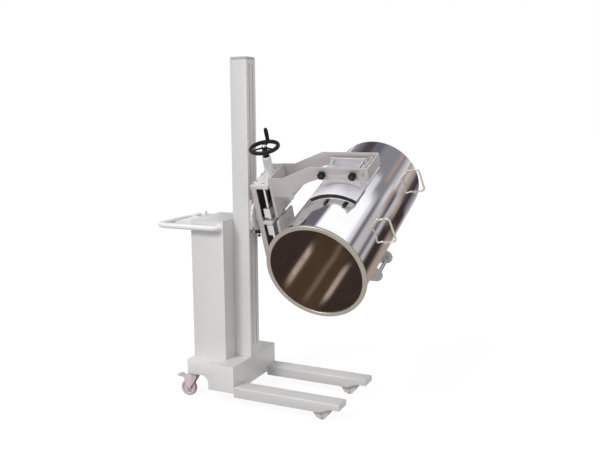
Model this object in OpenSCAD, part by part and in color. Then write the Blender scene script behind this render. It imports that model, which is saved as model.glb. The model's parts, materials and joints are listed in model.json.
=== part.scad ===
// Mobile drum clamp: a wheeled base with two fork legs, a lifting mast, and a
// turning clamp head whose two padded jaws close on a steel drum.
// Lengths are millimetres. The working frame has X forward along the fork
// legs, Y to the machine's left and Z up, with X = 0 at the front of the base
// and Z = 0 on the floor. The head frame turns about the X axis at axis_z:
// its y runs along the drum and its z along the clamp screw.

/* [Base] */
// Width of the base across the fork legs
base_w = 533; // [480:1:640]
// Length of the base from its rear edge to its front face
base_l = 334; // [320:1:420]
// Height of the base's top face above the floor
base_top = 234.5; // [215:0.5:270]
// Thickness of the base's welded plates
plate_t = 8; // [5:0.5:12]
// Radius of the base's two rear corners
base_corner_r = 40; // [20:1:60]
// Length of the deep block at the front of the base
block_l = 175; // [150:1:185]
// Height of the deep block's lower edge above the floor
block_z = 75; // [60:1:90]
// Height of the rear slab's underside, above the casters
slab_z = 157; // [150:1:165]
// Radius of the hollow between the slab and the deep block
arch_r = 45; // [25:1:60]

/* [Fork legs] */
// Length of each fork leg from the front of the base
leg_l = 664; // [600:1:760]
// Width of each fork leg
leg_w = 109; // [90:1:120]
// Height of the leg's top face above the floor
leg_top = 115; // [105:1:125]
// Height of the leg's underside above the floor
leg_bottom = 53; // [45:1:60]
// Wall of the leg's box section
leg_wall = 5; // [3:0.5:8]
// Rise of the underside at the leg's toe
toe_rise = 25; // [10:1:32]
// Length of the rising stretch at the toe
toe_l = 60; // [40:1:80]
// Diameter of the front rollers
roller_d = 54; // [46:1:60]
// Width of the front rollers
roller_w = 46; // [30:1:50]
// Distance of the front rollers' axles behind the legs' front ends
roller_back = 119; // [104:1:140]
// Diameter of the roller axles
axle_d = 16; // [10:1:20]

/* [Casters] */
// Diameter of the caster wheels
caster_d = 100; // [90:1:110]
// Width of the caster wheels
caster_w = 32; // [24:1:40]
// Distance of a wheel's axle behind its swivel axis
caster_trail = 42; // [30:1:45]
// Distance of the swivel axes from the base's rear edge
caster_inset = 38; // [32:1:44]
// Distance of each swivel axis from the machine's centre plane
caster_y = 219; // [200:1:222]

/* [Cabinet] */
// Depth of the cabinet from front to rear
cabinet_l = 220; // [200:1:224]
// Width of the cabinet
cabinet_w = 338; // [300:1:380]
// Height of the cabinet's top above the floor
cabinet_top = 1078; // [1000:1:1150]
// Thickness of the cabinet's sheet
sheet_t = 2.5; // [1.5:0.5:4]
// Height of the fixed strip above the rear door
door_head = 62; // [58:1:90]
// Depth of the control console behind the cabinet
console_l = 146; // [100:1:160]
// Width of the control console
console_w = 230; // [180:1:260]

/* [Push handle] */
// Diameter of the handle's tube
handle_d = 32; // [25:1:36]
// Distance of the rear bar behind the cabinet
handle_reach = 226; // [200:1:320]
// Depth of the handle's tube below the cabinet's top
handle_drop = 44; // [33:1:78]
// Distance between the handle's side bars and the cabinet
handle_gap = 14; // [10:1:40]
// Bend radius of the handle's rear corners
handle_bend = 62; // [45:1:90]

/* [Mast] */
// Width of the mast across the machine
mast_w = 107; // [100:1:130]
// Depth of the mast from front to rear
mast_d = 108; // [104:1:110]
// Height of the mast with its cap
mast_top = 2015; // [1980:5:2200]
// Wall of the mast's section
mast_wall = 6; // [4:0.5:8]
// Distance by which the mast stands ahead of the base
mast_proud = 2.5; // [0:0.5:4]
// Width of each of the two slots in the mast's front
slot_w = 7; // [6:0.5:11]
// Width of the strip between the slots
strip_w = 34; // [30:1:40]
// Thickness of the mast's cap
cap_t = 16; // [10:1:24]
// Diameter of the lifting screw
lift_screw_d = 20; // [16:1:22]
// Lead of the lifting screw, one turn
lift_lead = 20; // [10:1:25]
// Travel of the head below the height shown
lift_down = 360; // [300:5:365]
// Travel of the head above the height shown
lift_up = 700; // [500:5:720]

/* [Turning axis] */
// Height of the turning axis above the floor
axis_z = 1105; // [1100:5:1130]
// Angle of the drum's axis above the horizontal
tilt = 22.5; // [0:22.5:45]
// Diameter of the indexing disc
disc_d = 188; // [180:2:250]
// Thickness of the indexing disc
disc_t = 12; // [10:1:16]
// Number of indexing holes round the disc
index_count = 16; // [8:8:16]
// Diameter of the indexing pin
index_pin_d = 8; // [6:0.5:8.5]
// Travel of the indexing pin
index_travel = 9; // [6:0.5:11]
// Diameter of the pivot shaft
pivot_d = 60; // [50:1:70]

/* [Clamp head] */
// Width of the head and of both jaws, along the drum
head_w = 194; // [180:1:220]
// Length of the head's channel, along the clamp screw
channel_l = 486; // [460:2:520]
// Distance of the channel's back from the front of the base
channel_x = 86; // [80:1:90]
// Depth of the channel's side flanges
channel_flange = 31; // [18:1:32]
// Length of the channel's end plates
end_plate_l = 110; // [104:1:112]
// Thickness of the channel's end plates
end_plate_t = 20; // [14:1:24]
// Diameter of the two guide rods
rod_d = 18; // [14:1:20]
// Diameter of the clamp screw
clamp_screw_d = 20; // [16:1:22]
// Lead of the clamp screw, one turn
clamp_lead = 6; // [4:1:8]
// Travel of each jaw as the clamp opens
jaw_travel = 60; // [30:5:60]
// Height of the screw column above the channel
column_h = 137; // [130:1:160]
// Diameter of the screw column
column_d = 52; // [46:1:66]
// Diameter of the handwheel
wheel_d = 178; // [150:1:182]
// Diameter of the handwheel's rim
wheel_rim_d = 23; // [14:1:26]
// Angle of the crank grip round the handwheel
grip_angle = 100; // [0:5:355]
// Length of the crank grip
grip_l = 66; // [50:1:72]

/* [Jaws] */
// Distance of the jaw plates' rear face ahead of the base
jaw_x = 206; // [204:1:212]
// Thickness of the jaw plates
jaw_t = 16; // [12:1:18]
// Thickness of the arms
arm_t = 8; // [6:0.5:10]
// Distance of the arms' ends ahead of the front saddle pins
arm_over = 75; // [66:1:95]
// Height of the upper arms' top edge above the turning axis
upper_arm_top = 371; // [368:1:385]
// Height of the upper arms' straight band
arm_band = 69; // [60:1:72]
// Height of the upper arms' root top edge
upper_root_top = 293; // [285:1:300]
// Height of the arms at their root
arm_root = 113; // [95:1:118]
// Depth of the lower arms' outer edge below the turning axis
lower_arm_low = 337; // [335:1:345]
// Depth of the lower arms' root outer edge
lower_root_low = 259; // [250:1:270]
// Half of the angle that each saddle covers
saddle_angle = 30; // [24:1:33]
// Length of the saddles along the drum
saddle_l = 390; // [340:1:420]
// Thickness of the saddles' sheet
saddle_t = 4; // [3:0.5:6]
// Thickness of the rubber liners
liner_t = 10; // [6:0.5:12]
// Diameter of the saddle pins
pin_d = 16; // [12:1:18]
// Distance of the rear saddle pins behind the drum's axis
rear_pin_back = 80; // [70:1:90]
// Distance of the front saddle pins ahead of the drum's axis
front_pin_ahead = 95; // [84:1:105]
// Diameter of the knobs on the saddle pins
knob_d = 41; // [36:1:50]

/* [Drum] */
// Outer diameter of the drum's wall
drum_d = 514; // [500:1:516]
// Length of the drum
drum_l = 1025; // [900:5:1100]
// Wall of the drum
drum_wall = 2; // [1.5:0.5:4]
// Outer diameter of the drum's rolled rim
drum_rim_d = 549; // [530:1:560]
// Depth of the rim along the drum
drum_rim_l = 22; // [16:1:30]
// Inner diameter of the rim, the drum's mouth
drum_mouth_d = 498; // [480:1:500]
// Distance of the drum's axis ahead of the base
drum_x = 626; // [620:1:632]
// Distance from the head's middle to the drum's middle, towards the mouth
drum_shift = 27; // [0:1:60]
// Standing height of the drum's bow handles
bow_h = 58; // [45:1:62]
// Width of the drum's bow handles
bow_w = 150; // [120:1:170]
// Diameter of the bow handles' rod
bow_d = 11; // [8:1:14]

/* [Hidden] */
$fn = 64;

// Colours
paint = [0.86, 0.85, 0.83];
paint_shade = [0.78, 0.77, 0.75];
steel = [0.72, 0.72, 0.73];
polished = [0.80, 0.81, 0.83];
black = [0.08, 0.08, 0.09];
rubber = [0.05, 0.05, 0.05];
grey_plastic = [0.74, 0.70, 0.69];
dark_plastic = [0.28, 0.28, 0.30];
bronze = [0.70, 0.53, 0.28];

// Clearances: a shaft in its bore, a gap between moving pieces, a fixed seat
run = 0.05;
gap = 0.3;
seat_gap = 0.2;

// Base and mast
half_w = base_w / 2;
mast_x1 = mast_proud;
mast_x0 = mast_x1 - mast_d;
mast_cx = (mast_x0 + mast_x1) / 2;
mast_in = mast_w / 2 - mast_wall;
mast_body_top = mast_top - cap_t;
cabinet_x1 = mast_x0 - 0.5;
cabinet_x0 = cabinet_x1 - cabinet_l;
leg_y = half_w - leg_w / 2;
axle_r = axle_d / 2;
roller_x = leg_l - roller_back;
bracket_back = 56;
bracket_front = 74;
bracket_foot = 24;
bracket_r = 20;
caster_x = -base_l + caster_inset;
caster_r = caster_d / 2;

// Drive inside the cabinet, and the gear unit under the lifting screw
battery_w = 136;
battery_gap = 14;
battery_h = 190;
battery_in = 22;
post_in = 28;
post_h = 14;
post_r = 9;
controller_t = 60;
controller_w = 140;
controller_h = 210;
controller_rise = 330;
controller_z = base_top + controller_rise;
controller_y = -50;
motor_l = 156;
motor_r = 36;
motor_end = 12;
gear_l = 86;
gear_w = 88;
gear_h = 92;
screw_drop = 68;

// Lifting carriage, which runs inside the mast
carriage_h = 110;
plate_w = 112;
plate_h = 176;
tongue_w = 48;
neck_t = slot_w - 2;
neck_in = strip_w / 2 + 1;
neck_out = neck_in + neck_t;
nut_r = neck_in - 2;
slot_z0 = base_top + 70;
slot_z1 = mast_top - cap_t - 24;
screw_r = lift_screw_d / 2;
bearing_h = 28;
plate_x0 = mast_x1 + 2.5;
plate_x1 = plate_x0 + 22;
pivot_r = pivot_d / 2;
pivot_ring_r = pivot_r + 16;
disc_x0 = plate_x1 + 9;
disc_x1 = disc_x0 + disc_t;
disc_r = disc_d / 2;
index_r = index_pin_d / 2;
index_x = (disc_x0 + disc_x1) / 2;

// Clamp head, in the head frame
half_h = head_w / 2;
half_c = channel_l / 2;
web_x = channel_x + 8;
rod_x = web_x + 61;
rod_y = half_h - 29;
screw_x = rod_x + 17;
clamp_r = clamp_screw_d / 2;
block_x0 = rod_x - 20;
block_x1 = rod_x + 20;
bridge_w = 68;
block_cheek = 24;
upper_block_z = 34;
upper_block_h = 59;
lower_block_z = 15;
lower_block_h = 67;
upper_block = [upper_block_z, upper_block_z + upper_block_h];
lower_block = [-lower_block_z - lower_block_h, -lower_block_z];
upper_plate_low = 42;
lower_plate_top = 16;
arm_x = jaw_x + jaw_t;
column_top = half_c + column_h;
wheel_z = column_top + 56;
wheel_r = (wheel_d - wheel_rim_d) / 2;
grip_r = 12;
grip_pin_r = 5;
grip_z0 = wheel_z + wheel_rim_d / 2 + 1;

// Jaws
drum_r = drum_d / 2;
liner_r = drum_r + gap;
sheet_r = liner_r + liner_t;
saddle_r = sheet_r + saddle_t;
pin_r = pin_d / 2;
pin_z = upper_arm_top - 38;
rear_pin_x = drum_x - rear_pin_back;
front_pin_x = drum_x + front_pin_ahead;
arm_reach = front_pin_x + arm_over;
tip_r = 44;
tip_x = arm_reach + 10 - tip_r;
tip_z = -lower_arm_low + tip_r;
root_tube_r = 12;
gusset_l = 58;

// Drum, whose mouth is at the low end of the head frame's y
mouth_y = -drum_shift - drum_l / 2;
base_y = mouth_y + drum_l;
bow_angle = 11;
bow_places = [-174, 390];

// The part's origin is under the middle of its box
handle_x0 = cabinet_x0 - handle_reach;
handle_z = cabinet_top - handle_drop;
bow_r = bow_d / 2;
bow_bend = 18;
bow_out = drum_r + bow_h - bow_r - bow_bend;
bow_side = bow_w / 2 - bow_r - bow_bend;
bow_reach = bow_out * cos(bow_angle) + bow_side * sin(bow_angle) + bow_bend + bow_r;
end_round = 8;
seam = 0.2;
rim_round = min(drum_rim_l, (drum_rim_d - drum_mouth_d) / 2) / 2 - 1;
origin_x = (handle_x0 - handle_d / 2 + drum_x + bow_reach) / 2;
rim_lift = (drum_rim_d / 2 - rim_round) * sin(tilt) + rim_round;
end_lift = (drum_r - end_round) * sin(tilt) + end_round;
box_y0 = (mouth_y + rim_round) * cos(tilt) - rim_lift;
box_y1 = (base_y - end_round) * cos(tilt) + end_lift;
origin_y = (box_y0 + box_y1) / 2;

module on_base() {
    translate([-origin_x, -origin_y, 0]) children();
}

module on_head() {
    on_base() translate([0, 0, axis_z]) rotate([tilt, 0, 0]) children();
}

// A round bar along X, Y or Z from a to b on its own axis
module bar_x(a, b, r) {
    translate([a, 0, 0]) rotate([0, 90, 0]) cylinder(h = b - a, r = r);
}

module bar_y(a, b, r) {
    translate([0, b, 0]) rotate([90, 0, 0]) cylinder(h = b - a, r = r);
}

module bar_z(a, b, r) {
    translate([0, 0, a]) cylinder(h = b - a, r = r);
}

// A block between two corners
module block(low, high) {
    translate(low) cube(high - low);
}

// A plate square to Y, drawn as an X and Z outline
module plate_y(a, b) {
    translate([0, b, 0]) rotate([90, 0, 0]) linear_extrude(height = b - a) children();
}

// A quarter bend of round bar in the XY plane, about the origin
module bend(radius, r, from) {
    rotate([0, 0, from]) rotate_extrude(angle = 90) translate([radius, 0]) circle(r = r, $fn = 32);
}

// A rectangle whose corners all have one radius
module rounded(low, high, r) {
    translate([low[0] + r, low[1]]) square([high[0] - low[0] - 2 * r, high[1] - low[1]]);
    translate([low[0], low[1] + r]) square([high[0] - low[0], high[1] - low[1] - 2 * r]);
    for (x = [low[0] + r, high[0] - r], y = [low[1] + r, high[1] - r])
        translate([x, y]) circle(r = r, $fn = 48);
}

// A plate square to X, drawn as a Y and Z outline
module plate_x(a, b) {
    translate([a, 0, 0]) rotate([90, 0, 90]) linear_extrude(height = b - a) children();
}

// Moves to the drum's axis, with angles counted from X towards the clamp screw
module around_drum() {
    translate([drum_x, 0, 0]) rotate([90, 0, 0]) children();
}

// A curved sheet about the drum's axis
module shell_band(r0, r1, from, to, half_l) {
    around_drum() rotate([0, 0, from]) rotate_extrude(angle = to - from, $fn = 96)
        translate([r0, -half_l]) square([r1 - r0, 2 * half_l]);
}

// BASE

// The room below the slab and behind the deep block, grown by t
module arch_room(t) {
    translate([-base_l - 1, 0]) square([base_l + 1 - block_l - arch_r, slab_z + t]);
    translate([-base_l - 1, 0]) square([base_l + 1 - block_l + t, slab_z - arch_r]);
    translate([-block_l - arch_r, slab_z - arch_r]) circle(r = arch_r + t);
}

// The base's plan, drawn in by t
module base_plan(t) {
    r = base_corner_r - t;
    translate([-base_l + base_corner_r, -half_w + t]) square([base_l - base_corner_r - t, base_w - 2 * t]);
    translate([-base_l + t, -half_w + base_corner_r]) square([base_l - 2 * t, base_w - 2 * base_corner_r]);
    for (side = [-1, 1])
        translate([-base_l + base_corner_r, side * (half_w - base_corner_r)]) circle(r = r);
}

module chassis() {
    color(paint) on_base() {
        difference() {
            translate([0, 0, block_z]) linear_extrude(height = base_top - block_z) base_plan(0);
            translate([0, 0, block_z - 1]) linear_extrude(height = base_top - plate_t - block_z + 1)
                difference() {
                    base_plan(plate_t);
                    translate([-base_l - 1, -half_w]) square([base_l + 1 - block_l + plate_t, base_w]);
                }
            translate([0, 0, slab_z + plate_t])
                linear_extrude(height = base_top - slab_z - 2 * plate_t) base_plan(plate_t);
            plate_y(-half_w - 1, half_w + 1) arch_room(0);
            translate([mast_cx, 0, 0]) bar_z(block_z, base_top + 1, screw_r + 4);
        }
        for (side = [-1, 1]) translate([caster_x, side * caster_y, 0]) {
            bar_z(slab_z - plate_t, slab_z + 2, 32);
            bar_z(slab_z - 2 * plate_t - 10, slab_z - plate_t + 1, 8);
            bar_z(slab_z - 2 * plate_t - 10, slab_z - 2 * plate_t - 2 * gap, 13);
        }
    }
}

// The leg's side outline, drawn in by t and starting at x0
module leg_outline(x0, t) {
    toe_z = leg_bottom + toe_rise;
    polygon([
        [x0, leg_bottom + t], [leg_l - 2 * toe_l, leg_bottom + t], [leg_l - toe_l, toe_z + t],
        [leg_l - t, toe_z + t], [leg_l - t, leg_top - t], [x0, leg_top - t]
    ]);
}

module leg(side) {
    on_base() translate([0, side * leg_y, 0]) difference() {
        intersection() {
            plate_x(0, leg_l) rounded([-leg_w / 2, 0], [leg_w / 2, leg_top], 9);
            plate_y(-leg_w / 2, leg_w / 2) leg_outline(0, 0);
        }
        plate_y(-leg_w / 2 + leg_wall, leg_w / 2 - leg_wall) leg_outline(-1, leg_wall);
        translate([roller_x - 24, -roller_w / 2 - 2, 0]) cube([48, roller_w + 4, leg_top - 20]);
    }
}

module right_leg() {
    color(paint) leg(-1);
}

module left_leg() {
    color(paint) leg(1);
}

module bracket_plate(y0) {
    toe_z = leg_bottom + toe_rise;
    plate_y(y0, y0 + 6) {
        polygon([
            [roller_x - bracket_back, leg_bottom], [leg_l - 2 * toe_l, leg_bottom],
            [leg_l - toe_l, toe_z], [roller_x + bracket_front, toe_z],
            [roller_x + bracket_foot, roller_d / 2 - 15], [roller_x - bracket_foot, roller_d / 2 - 15]
        ]);
        translate([roller_x, roller_d / 2]) circle(r = bracket_r);
    }
}

module roller_brackets() {
    color(paint_shade) on_base() for (side = [-1, 1]) translate([0, side * leg_y, 0]) {
        bracket_plate(roller_w / 2 + 3);
        bracket_plate(-roller_w / 2 - 9);
        translate([roller_x, 0, roller_d / 2]) {
            bar_y(-roller_w / 2 - 9, roller_w / 2 + 9, axle_r);
            for (end = [-1, 1]) translate([0, end * (roller_w / 2 + 11), 0]) bar_y(-3, 3, axle_r + 3);
        }
    }
}

module roller(side) {
    on_base() translate([roller_x, side * leg_y, roller_d / 2]) difference() {
        bar_y(-roller_w / 2, roller_w / 2, roller_d / 2);
        bar_y(-roller_w, roller_w, axle_r + run);
    }
}

module right_roller() {
    color(grey_plastic) roller(-1);
}

module left_roller() {
    color(grey_plastic) roller(1);
}

// Moves to the swivel axis of one caster
module at_caster(side) {
    on_base() translate([caster_x, side * caster_y, 0]) children();
}

fork_top = slab_z - plate_t - gap;
fork_in = caster_w / 2 + 2;
fork_out = fork_in + 5;
pedal_x = -caster_trail - 4;
pedal_z = caster_d + 17;

module caster_fork(side) {
    at_caster(side) {
        difference() {
            union() {
                bar_z(fork_top - plate_t, fork_top, 27);
                translate([-34, -fork_out, fork_top - plate_t]) cube([58, 2 * fork_out, plate_t]);
            }
            bar_z(fork_top - 30, fork_top + 1, 8 + run);
        }
        for (low = [-fork_out, fork_in]) plate_y(low, low + 5) {
            polygon([
                [-34, fork_top], [24, fork_top], [20, fork_top - 26], [14 - caster_trail, caster_r - 4],
                [-14 - caster_trail, caster_r - 4], [pedal_x - 16, pedal_z - 14], [pedal_x - 15, pedal_z + 9]
            ]);
            translate([-caster_trail, caster_r]) circle(r = 16);
        }
        translate([-caster_trail, 0, caster_r]) bar_y(-fork_out - 3, fork_out + 3, 6);
        translate([pedal_x, 0, pedal_z]) bar_y(-fork_out, fork_out, 4);
    }
}

module right_caster_fork() {
    color(grey_plastic) caster_fork(-1);
}

module left_caster_fork() {
    color(grey_plastic) caster_fork(1);
}

module caster_wheel(side) {
    at_caster(side) translate([-caster_trail, 0, caster_r]) difference() {
        bar_y(-caster_w / 2, caster_w / 2, caster_r);
        bar_y(-caster_w, caster_w, 6 + run);
        for (end = [-1, 1]) translate([0, end * caster_w / 2, 0]) difference() {
            bar_y(-3, 3, caster_r - 14);
            bar_y(-4, 4, 14);
        }
    }
}

module right_caster_wheel() {
    color(grey_plastic) caster_wheel(-1);
}

module left_caster_wheel() {
    color(grey_plastic) caster_wheel(1);
}

module brake_pedal(side) {
    at_caster(side) translate([pedal_x, 0, pedal_z]) difference() {
        union() {
            bar_y(-fork_in + 1, fork_in - 1, 8);
            plate_y(-fork_in + 1, fork_in - 1)
                polygon([[0, -6], [-28, -4], [-66, 5], [-66, 11], [-28, 4], [0, 6]]);
            plate_y(-fork_out - 2, fork_out + 2) polygon([[-42, 1], [-66, 6], [-66, 12], [-42, 8]]);
        }
        bar_y(-40, 40, 4 + run);
    }
}

module right_brake_pedal() {
    color(grey_plastic) brake_pedal(-1);
}

module left_brake_pedal() {
    color(grey_plastic) brake_pedal(1);
}

// CABINET, HANDLE AND CONTROLS

lid_t = 4;
door_x = cabinet_x0 - gap - sheet_t;
door_y = cabinet_w / 2 - 14;
door_z0 = base_top + 14;
door_z1 = cabinet_top - door_head;
hinge_x = cabinet_x0 - 6;
hinge_y = door_y + 7;
hinge_z = [320, 600, 900];

module cabinet_shell() {
    color(paint) on_base() {
        difference() {
            block([cabinet_x0, -cabinet_w / 2, base_top], [cabinet_x1, cabinet_w / 2, cabinet_top - lid_t]);
            block([cabinet_x0 + sheet_t, -cabinet_w / 2 + sheet_t, base_top - 1],
                  [cabinet_x1 - sheet_t, cabinet_w / 2 - sheet_t, cabinet_top]);
            block([cabinet_x0 - 1, -door_y + 10, door_z0 + 10], [cabinet_x0 + 9, door_y - 10, door_z1 - 10]);
        }
        for (z = hinge_z) {
            translate([hinge_x, hinge_y, 0]) {
                bar_z(z + gap, z + 24, 5);
                bar_z(z - 24, z + 1, 3);
            }
            block([hinge_x, hinge_y - 3, z + gap], [cabinet_x0 + 1, hinge_y + 3, z + 24]);
        }
    }
}

module cabinet_lid() {
    color(paint_shade) on_base() {
        block([cabinet_x0, -cabinet_w / 2, cabinet_top - lid_t], [cabinet_x1, cabinet_w / 2, cabinet_top]);
        difference() {
            block([cabinet_x0 + 3, -cabinet_w / 2 + 3, cabinet_top - 20],
                  [cabinet_x1 - 3, cabinet_w / 2 - 3, cabinet_top - 1]);
            block([cabinet_x0 + 6, -cabinet_w / 2 + 6, cabinet_top - 21],
                  [cabinet_x1 - 6, cabinet_w / 2 - 6, cabinet_top - lid_t]);
        }
    }
}

module cabinet_door() {
    color(paint) on_base() {
        block([door_x, -door_y, door_z0], [door_x + sheet_t, door_y, door_z1]);
        difference() {
            for (z = hinge_z) {
                translate([hinge_x, hinge_y, 0]) bar_z(z - 24, z, 5);
                block([door_x, door_y - 1, z - 24], [door_x + sheet_t, hinge_y, z]);
            }
            translate([hinge_x, hinge_y, 0]) bar_z(door_z0, door_z1, 3 + run);
        }
        translate([0, -door_y + 34, door_z1 - 210]) {
            bar_x(door_x - 16, door_x + 1, 11);
            block([door_x - 24, -6, -34], [door_x - 14, 6, 34]);
        }
    }
}

handle_y = cabinet_w / 2 + handle_gap + handle_d / 2;
handle_r = handle_d / 2;
handle_end = handle_gap + handle_r;
handle_x1 = cabinet_x1 - 26;

module push_handle() {
    color(paint_shade) on_base() translate([0, 0, handle_z]) {
        for (side = [-1, 1]) {
            translate([0, side * handle_y, 0])
                bar_x(handle_x0 + handle_bend, handle_x1 - handle_end, handle_r);
            translate([handle_x1 - handle_end, side * cabinet_w / 2, 0])
                bend(handle_end, handle_r, side > 0 ? 0 : 270);
            translate([handle_x0 + handle_bend, side * (handle_y - handle_bend), 0])
                bend(handle_bend, handle_r, side > 0 ? 90 : 180);
        }
        translate([handle_x0, 0, 0]) bar_y(-handle_y + handle_bend, handle_y - handle_bend, handle_r);
        for (side = [-1, 1])
            translate([handle_x1, side * (cabinet_w / 2 + 2), 0]) bar_y(-2, 2, handle_r + 8);
    }
}

deck_z = cabinet_top - 4;
console_low = cabinet_top - door_head + 6;
button_at = [cabinet_x0 - 28, -43];
lever_at = [cabinet_x0 - 28, 45];

module control_console() {
    color(paint) on_base() {
        difference() {
            plate_y(-console_w / 2, console_w / 2) polygon([
                [cabinet_x0, console_low], [cabinet_x0, deck_z], [cabinet_x0 - 58, deck_z],
                [cabinet_x0 - console_l, deck_z - 24], [cabinet_x0 - console_l, console_low + 14],
                [cabinet_x0 - console_l + 24, console_low]
            ]);
            translate([button_at[0], button_at[1], 0]) bar_z(deck_z - 24, deck_z + 9, 10 + run);
            translate([lever_at[0] - 18, lever_at[1] - 12, deck_z - 26]) cube([36, 24, 30]);
        }
        translate([button_at[0], button_at[1], 0]) difference() {
            bar_z(deck_z - 1, deck_z + 6, 16);
            bar_z(deck_z - 2, deck_z + 9, 10 + run);
        }
        translate([lever_at[0], lever_at[1], deck_z - 10]) bar_y(-13, 13, 3);
    }
}

module stop_button() {
    color(grey_plastic) on_base() translate([button_at[0], button_at[1], deck_z]) {
        bar_z(-16, 13, 10);
        bar_z(12, 19, 22);
        translate([0, 0, 19]) cylinder(h = 5, r1 = 22, r2 = 15);
    }
}

module lift_lever() {
    color(grey_plastic) on_base() translate([lever_at[0], lever_at[1], deck_z - 10]) difference() {
        union() {
            bar_y(-11, 11, 8);
            bar_z(0, 26, 5);
            bar_z(22, 34, 9);
        }
        bar_y(-20, 20, 3 + run);
    }
}

module battery_pack() {
    battery_y = (battery_w + battery_gap) / 2;
    battery_top = base_top + battery_h;
    post_at = battery_in + post_in;
    color(dark_plastic) on_base() for (side = [-1, 1]) translate([0, side * battery_y, 0]) {
        block([cabinet_x0 + battery_in, -battery_w / 2, base_top],
              [cabinet_x1 - battery_in, battery_w / 2, battery_top]);
        for (x = [cabinet_x0 + post_at, cabinet_x1 - post_at])
            translate([x, 0, 0]) bar_z(battery_top - 1, battery_top + post_h, post_r);
    }
}

module lift_controller() {
    color(dark_plastic) on_base()
        block([cabinet_x1 - sheet_t - controller_t, controller_y - controller_w / 2, controller_z],
              [cabinet_x1 - sheet_t, controller_y + controller_w / 2, controller_z + controller_h]);
}

module lift_gearmotor() {
    color(steel) on_base() translate([mast_cx, 0, base_top - plate_t]) {
        difference() {
            block([-gear_l / 2, -gear_w / 2, -gear_h], [gear_l / 2, gear_w / 2, 0]);
            bar_z(-screw_drop - 4, 1, screw_r + run);
        }
        translate([0, gear_w / 2, -gear_h / 2 - 2]) {
            bar_y(-1, motor_l, motor_r);
            bar_y(motor_l - motor_end, motor_l + motor_end / 2, motor_r - 6);
        }
    }
}

// MAST AND LIFT

module mast() {
    color(paint) on_base() difference() {
        block([mast_x0, -mast_w / 2, base_top], [mast_x1, mast_w / 2, mast_body_top]);
        block([mast_x0 + mast_wall, -mast_in, base_top - 1],
              [mast_x1 - mast_wall, mast_in, mast_body_top + 1]);
        for (side = [-1, 1]) {
            y = side * (strip_w + slot_w) / 2;
            block([mast_x1 - mast_wall - 1, y - slot_w / 2, slot_z0],
                  [mast_x1 + 1, y + slot_w / 2, slot_z1]);
        }
    }
}

module mast_cap() {
    color(dark_plastic) on_base() {
        translate([0, 0, mast_body_top]) linear_extrude(height = cap_t - 4)
            rounded([mast_x0, -mast_w / 2], [mast_x1, mast_w / 2], 6);
        translate([0, 0, mast_top - 5]) linear_extrude(height = 5)
            rounded([mast_x0 + 3, -mast_w / 2 + 3], [mast_x1 - 3, mast_w / 2 - 3], 6);
        block([mast_x0 + mast_wall + seat_gap, -mast_in + seat_gap, mast_body_top - 12],
              [mast_x1 - mast_wall - seat_gap, mast_in - seat_gap, mast_body_top + 1]);
    }
}

module screw_bearings() {
    color(steel) on_base() for (z = [base_top, mast_body_top - 20 - bearing_h]) difference() {
        block([mast_x0 + mast_wall, -mast_in, z], [mast_x1 - mast_wall, mast_in, z + bearing_h]);
        translate([mast_cx, 0, 0]) bar_z(z - 1, z + bearing_h + 1, screw_r + run);
    }
}

module lift_screw() {
    color(polished) on_base() translate([mast_cx, 0, 0]) {
        bar_z(base_top - plate_t - screw_drop, mast_body_top - 16, screw_r);
        bar_z(base_top + bearing_h + gap, base_top + bearing_h + 12, screw_r + 8);
    }
}

carriage_x0 = mast_x0 + mast_wall + 9;
carriage_x1 = mast_x1 - mast_wall - 9;
carriage_y = mast_in - 8;

module carriage_frame() {
    color(paint_shade) on_base() translate([0, 0, axis_z]) difference() {
        union() {
            block([carriage_x0, -carriage_y, -carriage_h], [carriage_x1, carriage_y, carriage_h]);
            for (side = [-1, 1]) {
                low = side > 0 ? neck_in : -neck_out;
                block([carriage_x1 - 1, low, -plate_h / 2], [plate_x0, low + neck_t, plate_h / 2]);
            }
        }
        translate([mast_cx, 0, 0]) bar_z(-carriage_h - 1, carriage_h + 1, nut_r + run);
    }
}

module guide_shoes() {
    color(black) on_base() translate([0, 0, axis_z]) for (z = [-carriage_h, carriage_h - 50]) {
        for (side = [-1, 1]) {
            y = side * (carriage_y + mast_in - gap) / 2;
            t = (mast_in - gap - carriage_y) / 2;
            block([mast_cx - 26, y - t, z], [mast_cx + 26, y + t, z + 50]);
            block([mast_x0 + mast_wall + gap, side * 26 - 9, z], [carriage_x0, side * 26 + 9, z + 50]);
            block([carriage_x1, side * 37 - 6, z], [mast_x1 - mast_wall - gap, side * 37 + 6, z + 50]);
        }
    }
}

module lift_nut() {
    color(bronze) on_base() translate([mast_cx, 0, axis_z]) difference() {
        union() {
            bar_z(-carriage_h, -carriage_h + 60, nut_r);
            bar_z(-carriage_h - 10, -carriage_h, nut_r + 10);
        }
        bar_z(-carriage_h - 11, carriage_h, screw_r + run);
    }
}

bracket_low = disc_r + 19;

module carriage_plate() {
    color(paint_shade) on_base() translate([0, 0, axis_z]) difference() {
        union() {
            block([plate_x0, -plate_w / 2, -plate_h / 2], [plate_x1, plate_w / 2, plate_h / 2]);
            block([plate_x0, -tongue_w / 2, -bracket_low], [plate_x1, tongue_w / 2, -plate_h / 2 + 8]);
        }
        bar_x(plate_x0 + 3, plate_x1 + 1, pivot_ring_r);
    }
}

module pivot_bearing() {
    color(steel) on_base() translate([0, 0, axis_z]) difference() {
        union() {
            bar_x(plate_x0 + 8, plate_x1, pivot_ring_r);
            bar_x(plate_x1, plate_x1 + 6, pivot_ring_r + 12);
            for (i = [0:5]) rotate([60 * i, 0, 0])
                translate([0, pivot_ring_r + 6, 0]) bar_x(plate_x1 + 5, plate_x1 + 8, 4);
        }
        bar_x(plate_x0, plate_x1 + 9, pivot_r + run);
    }
}

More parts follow.
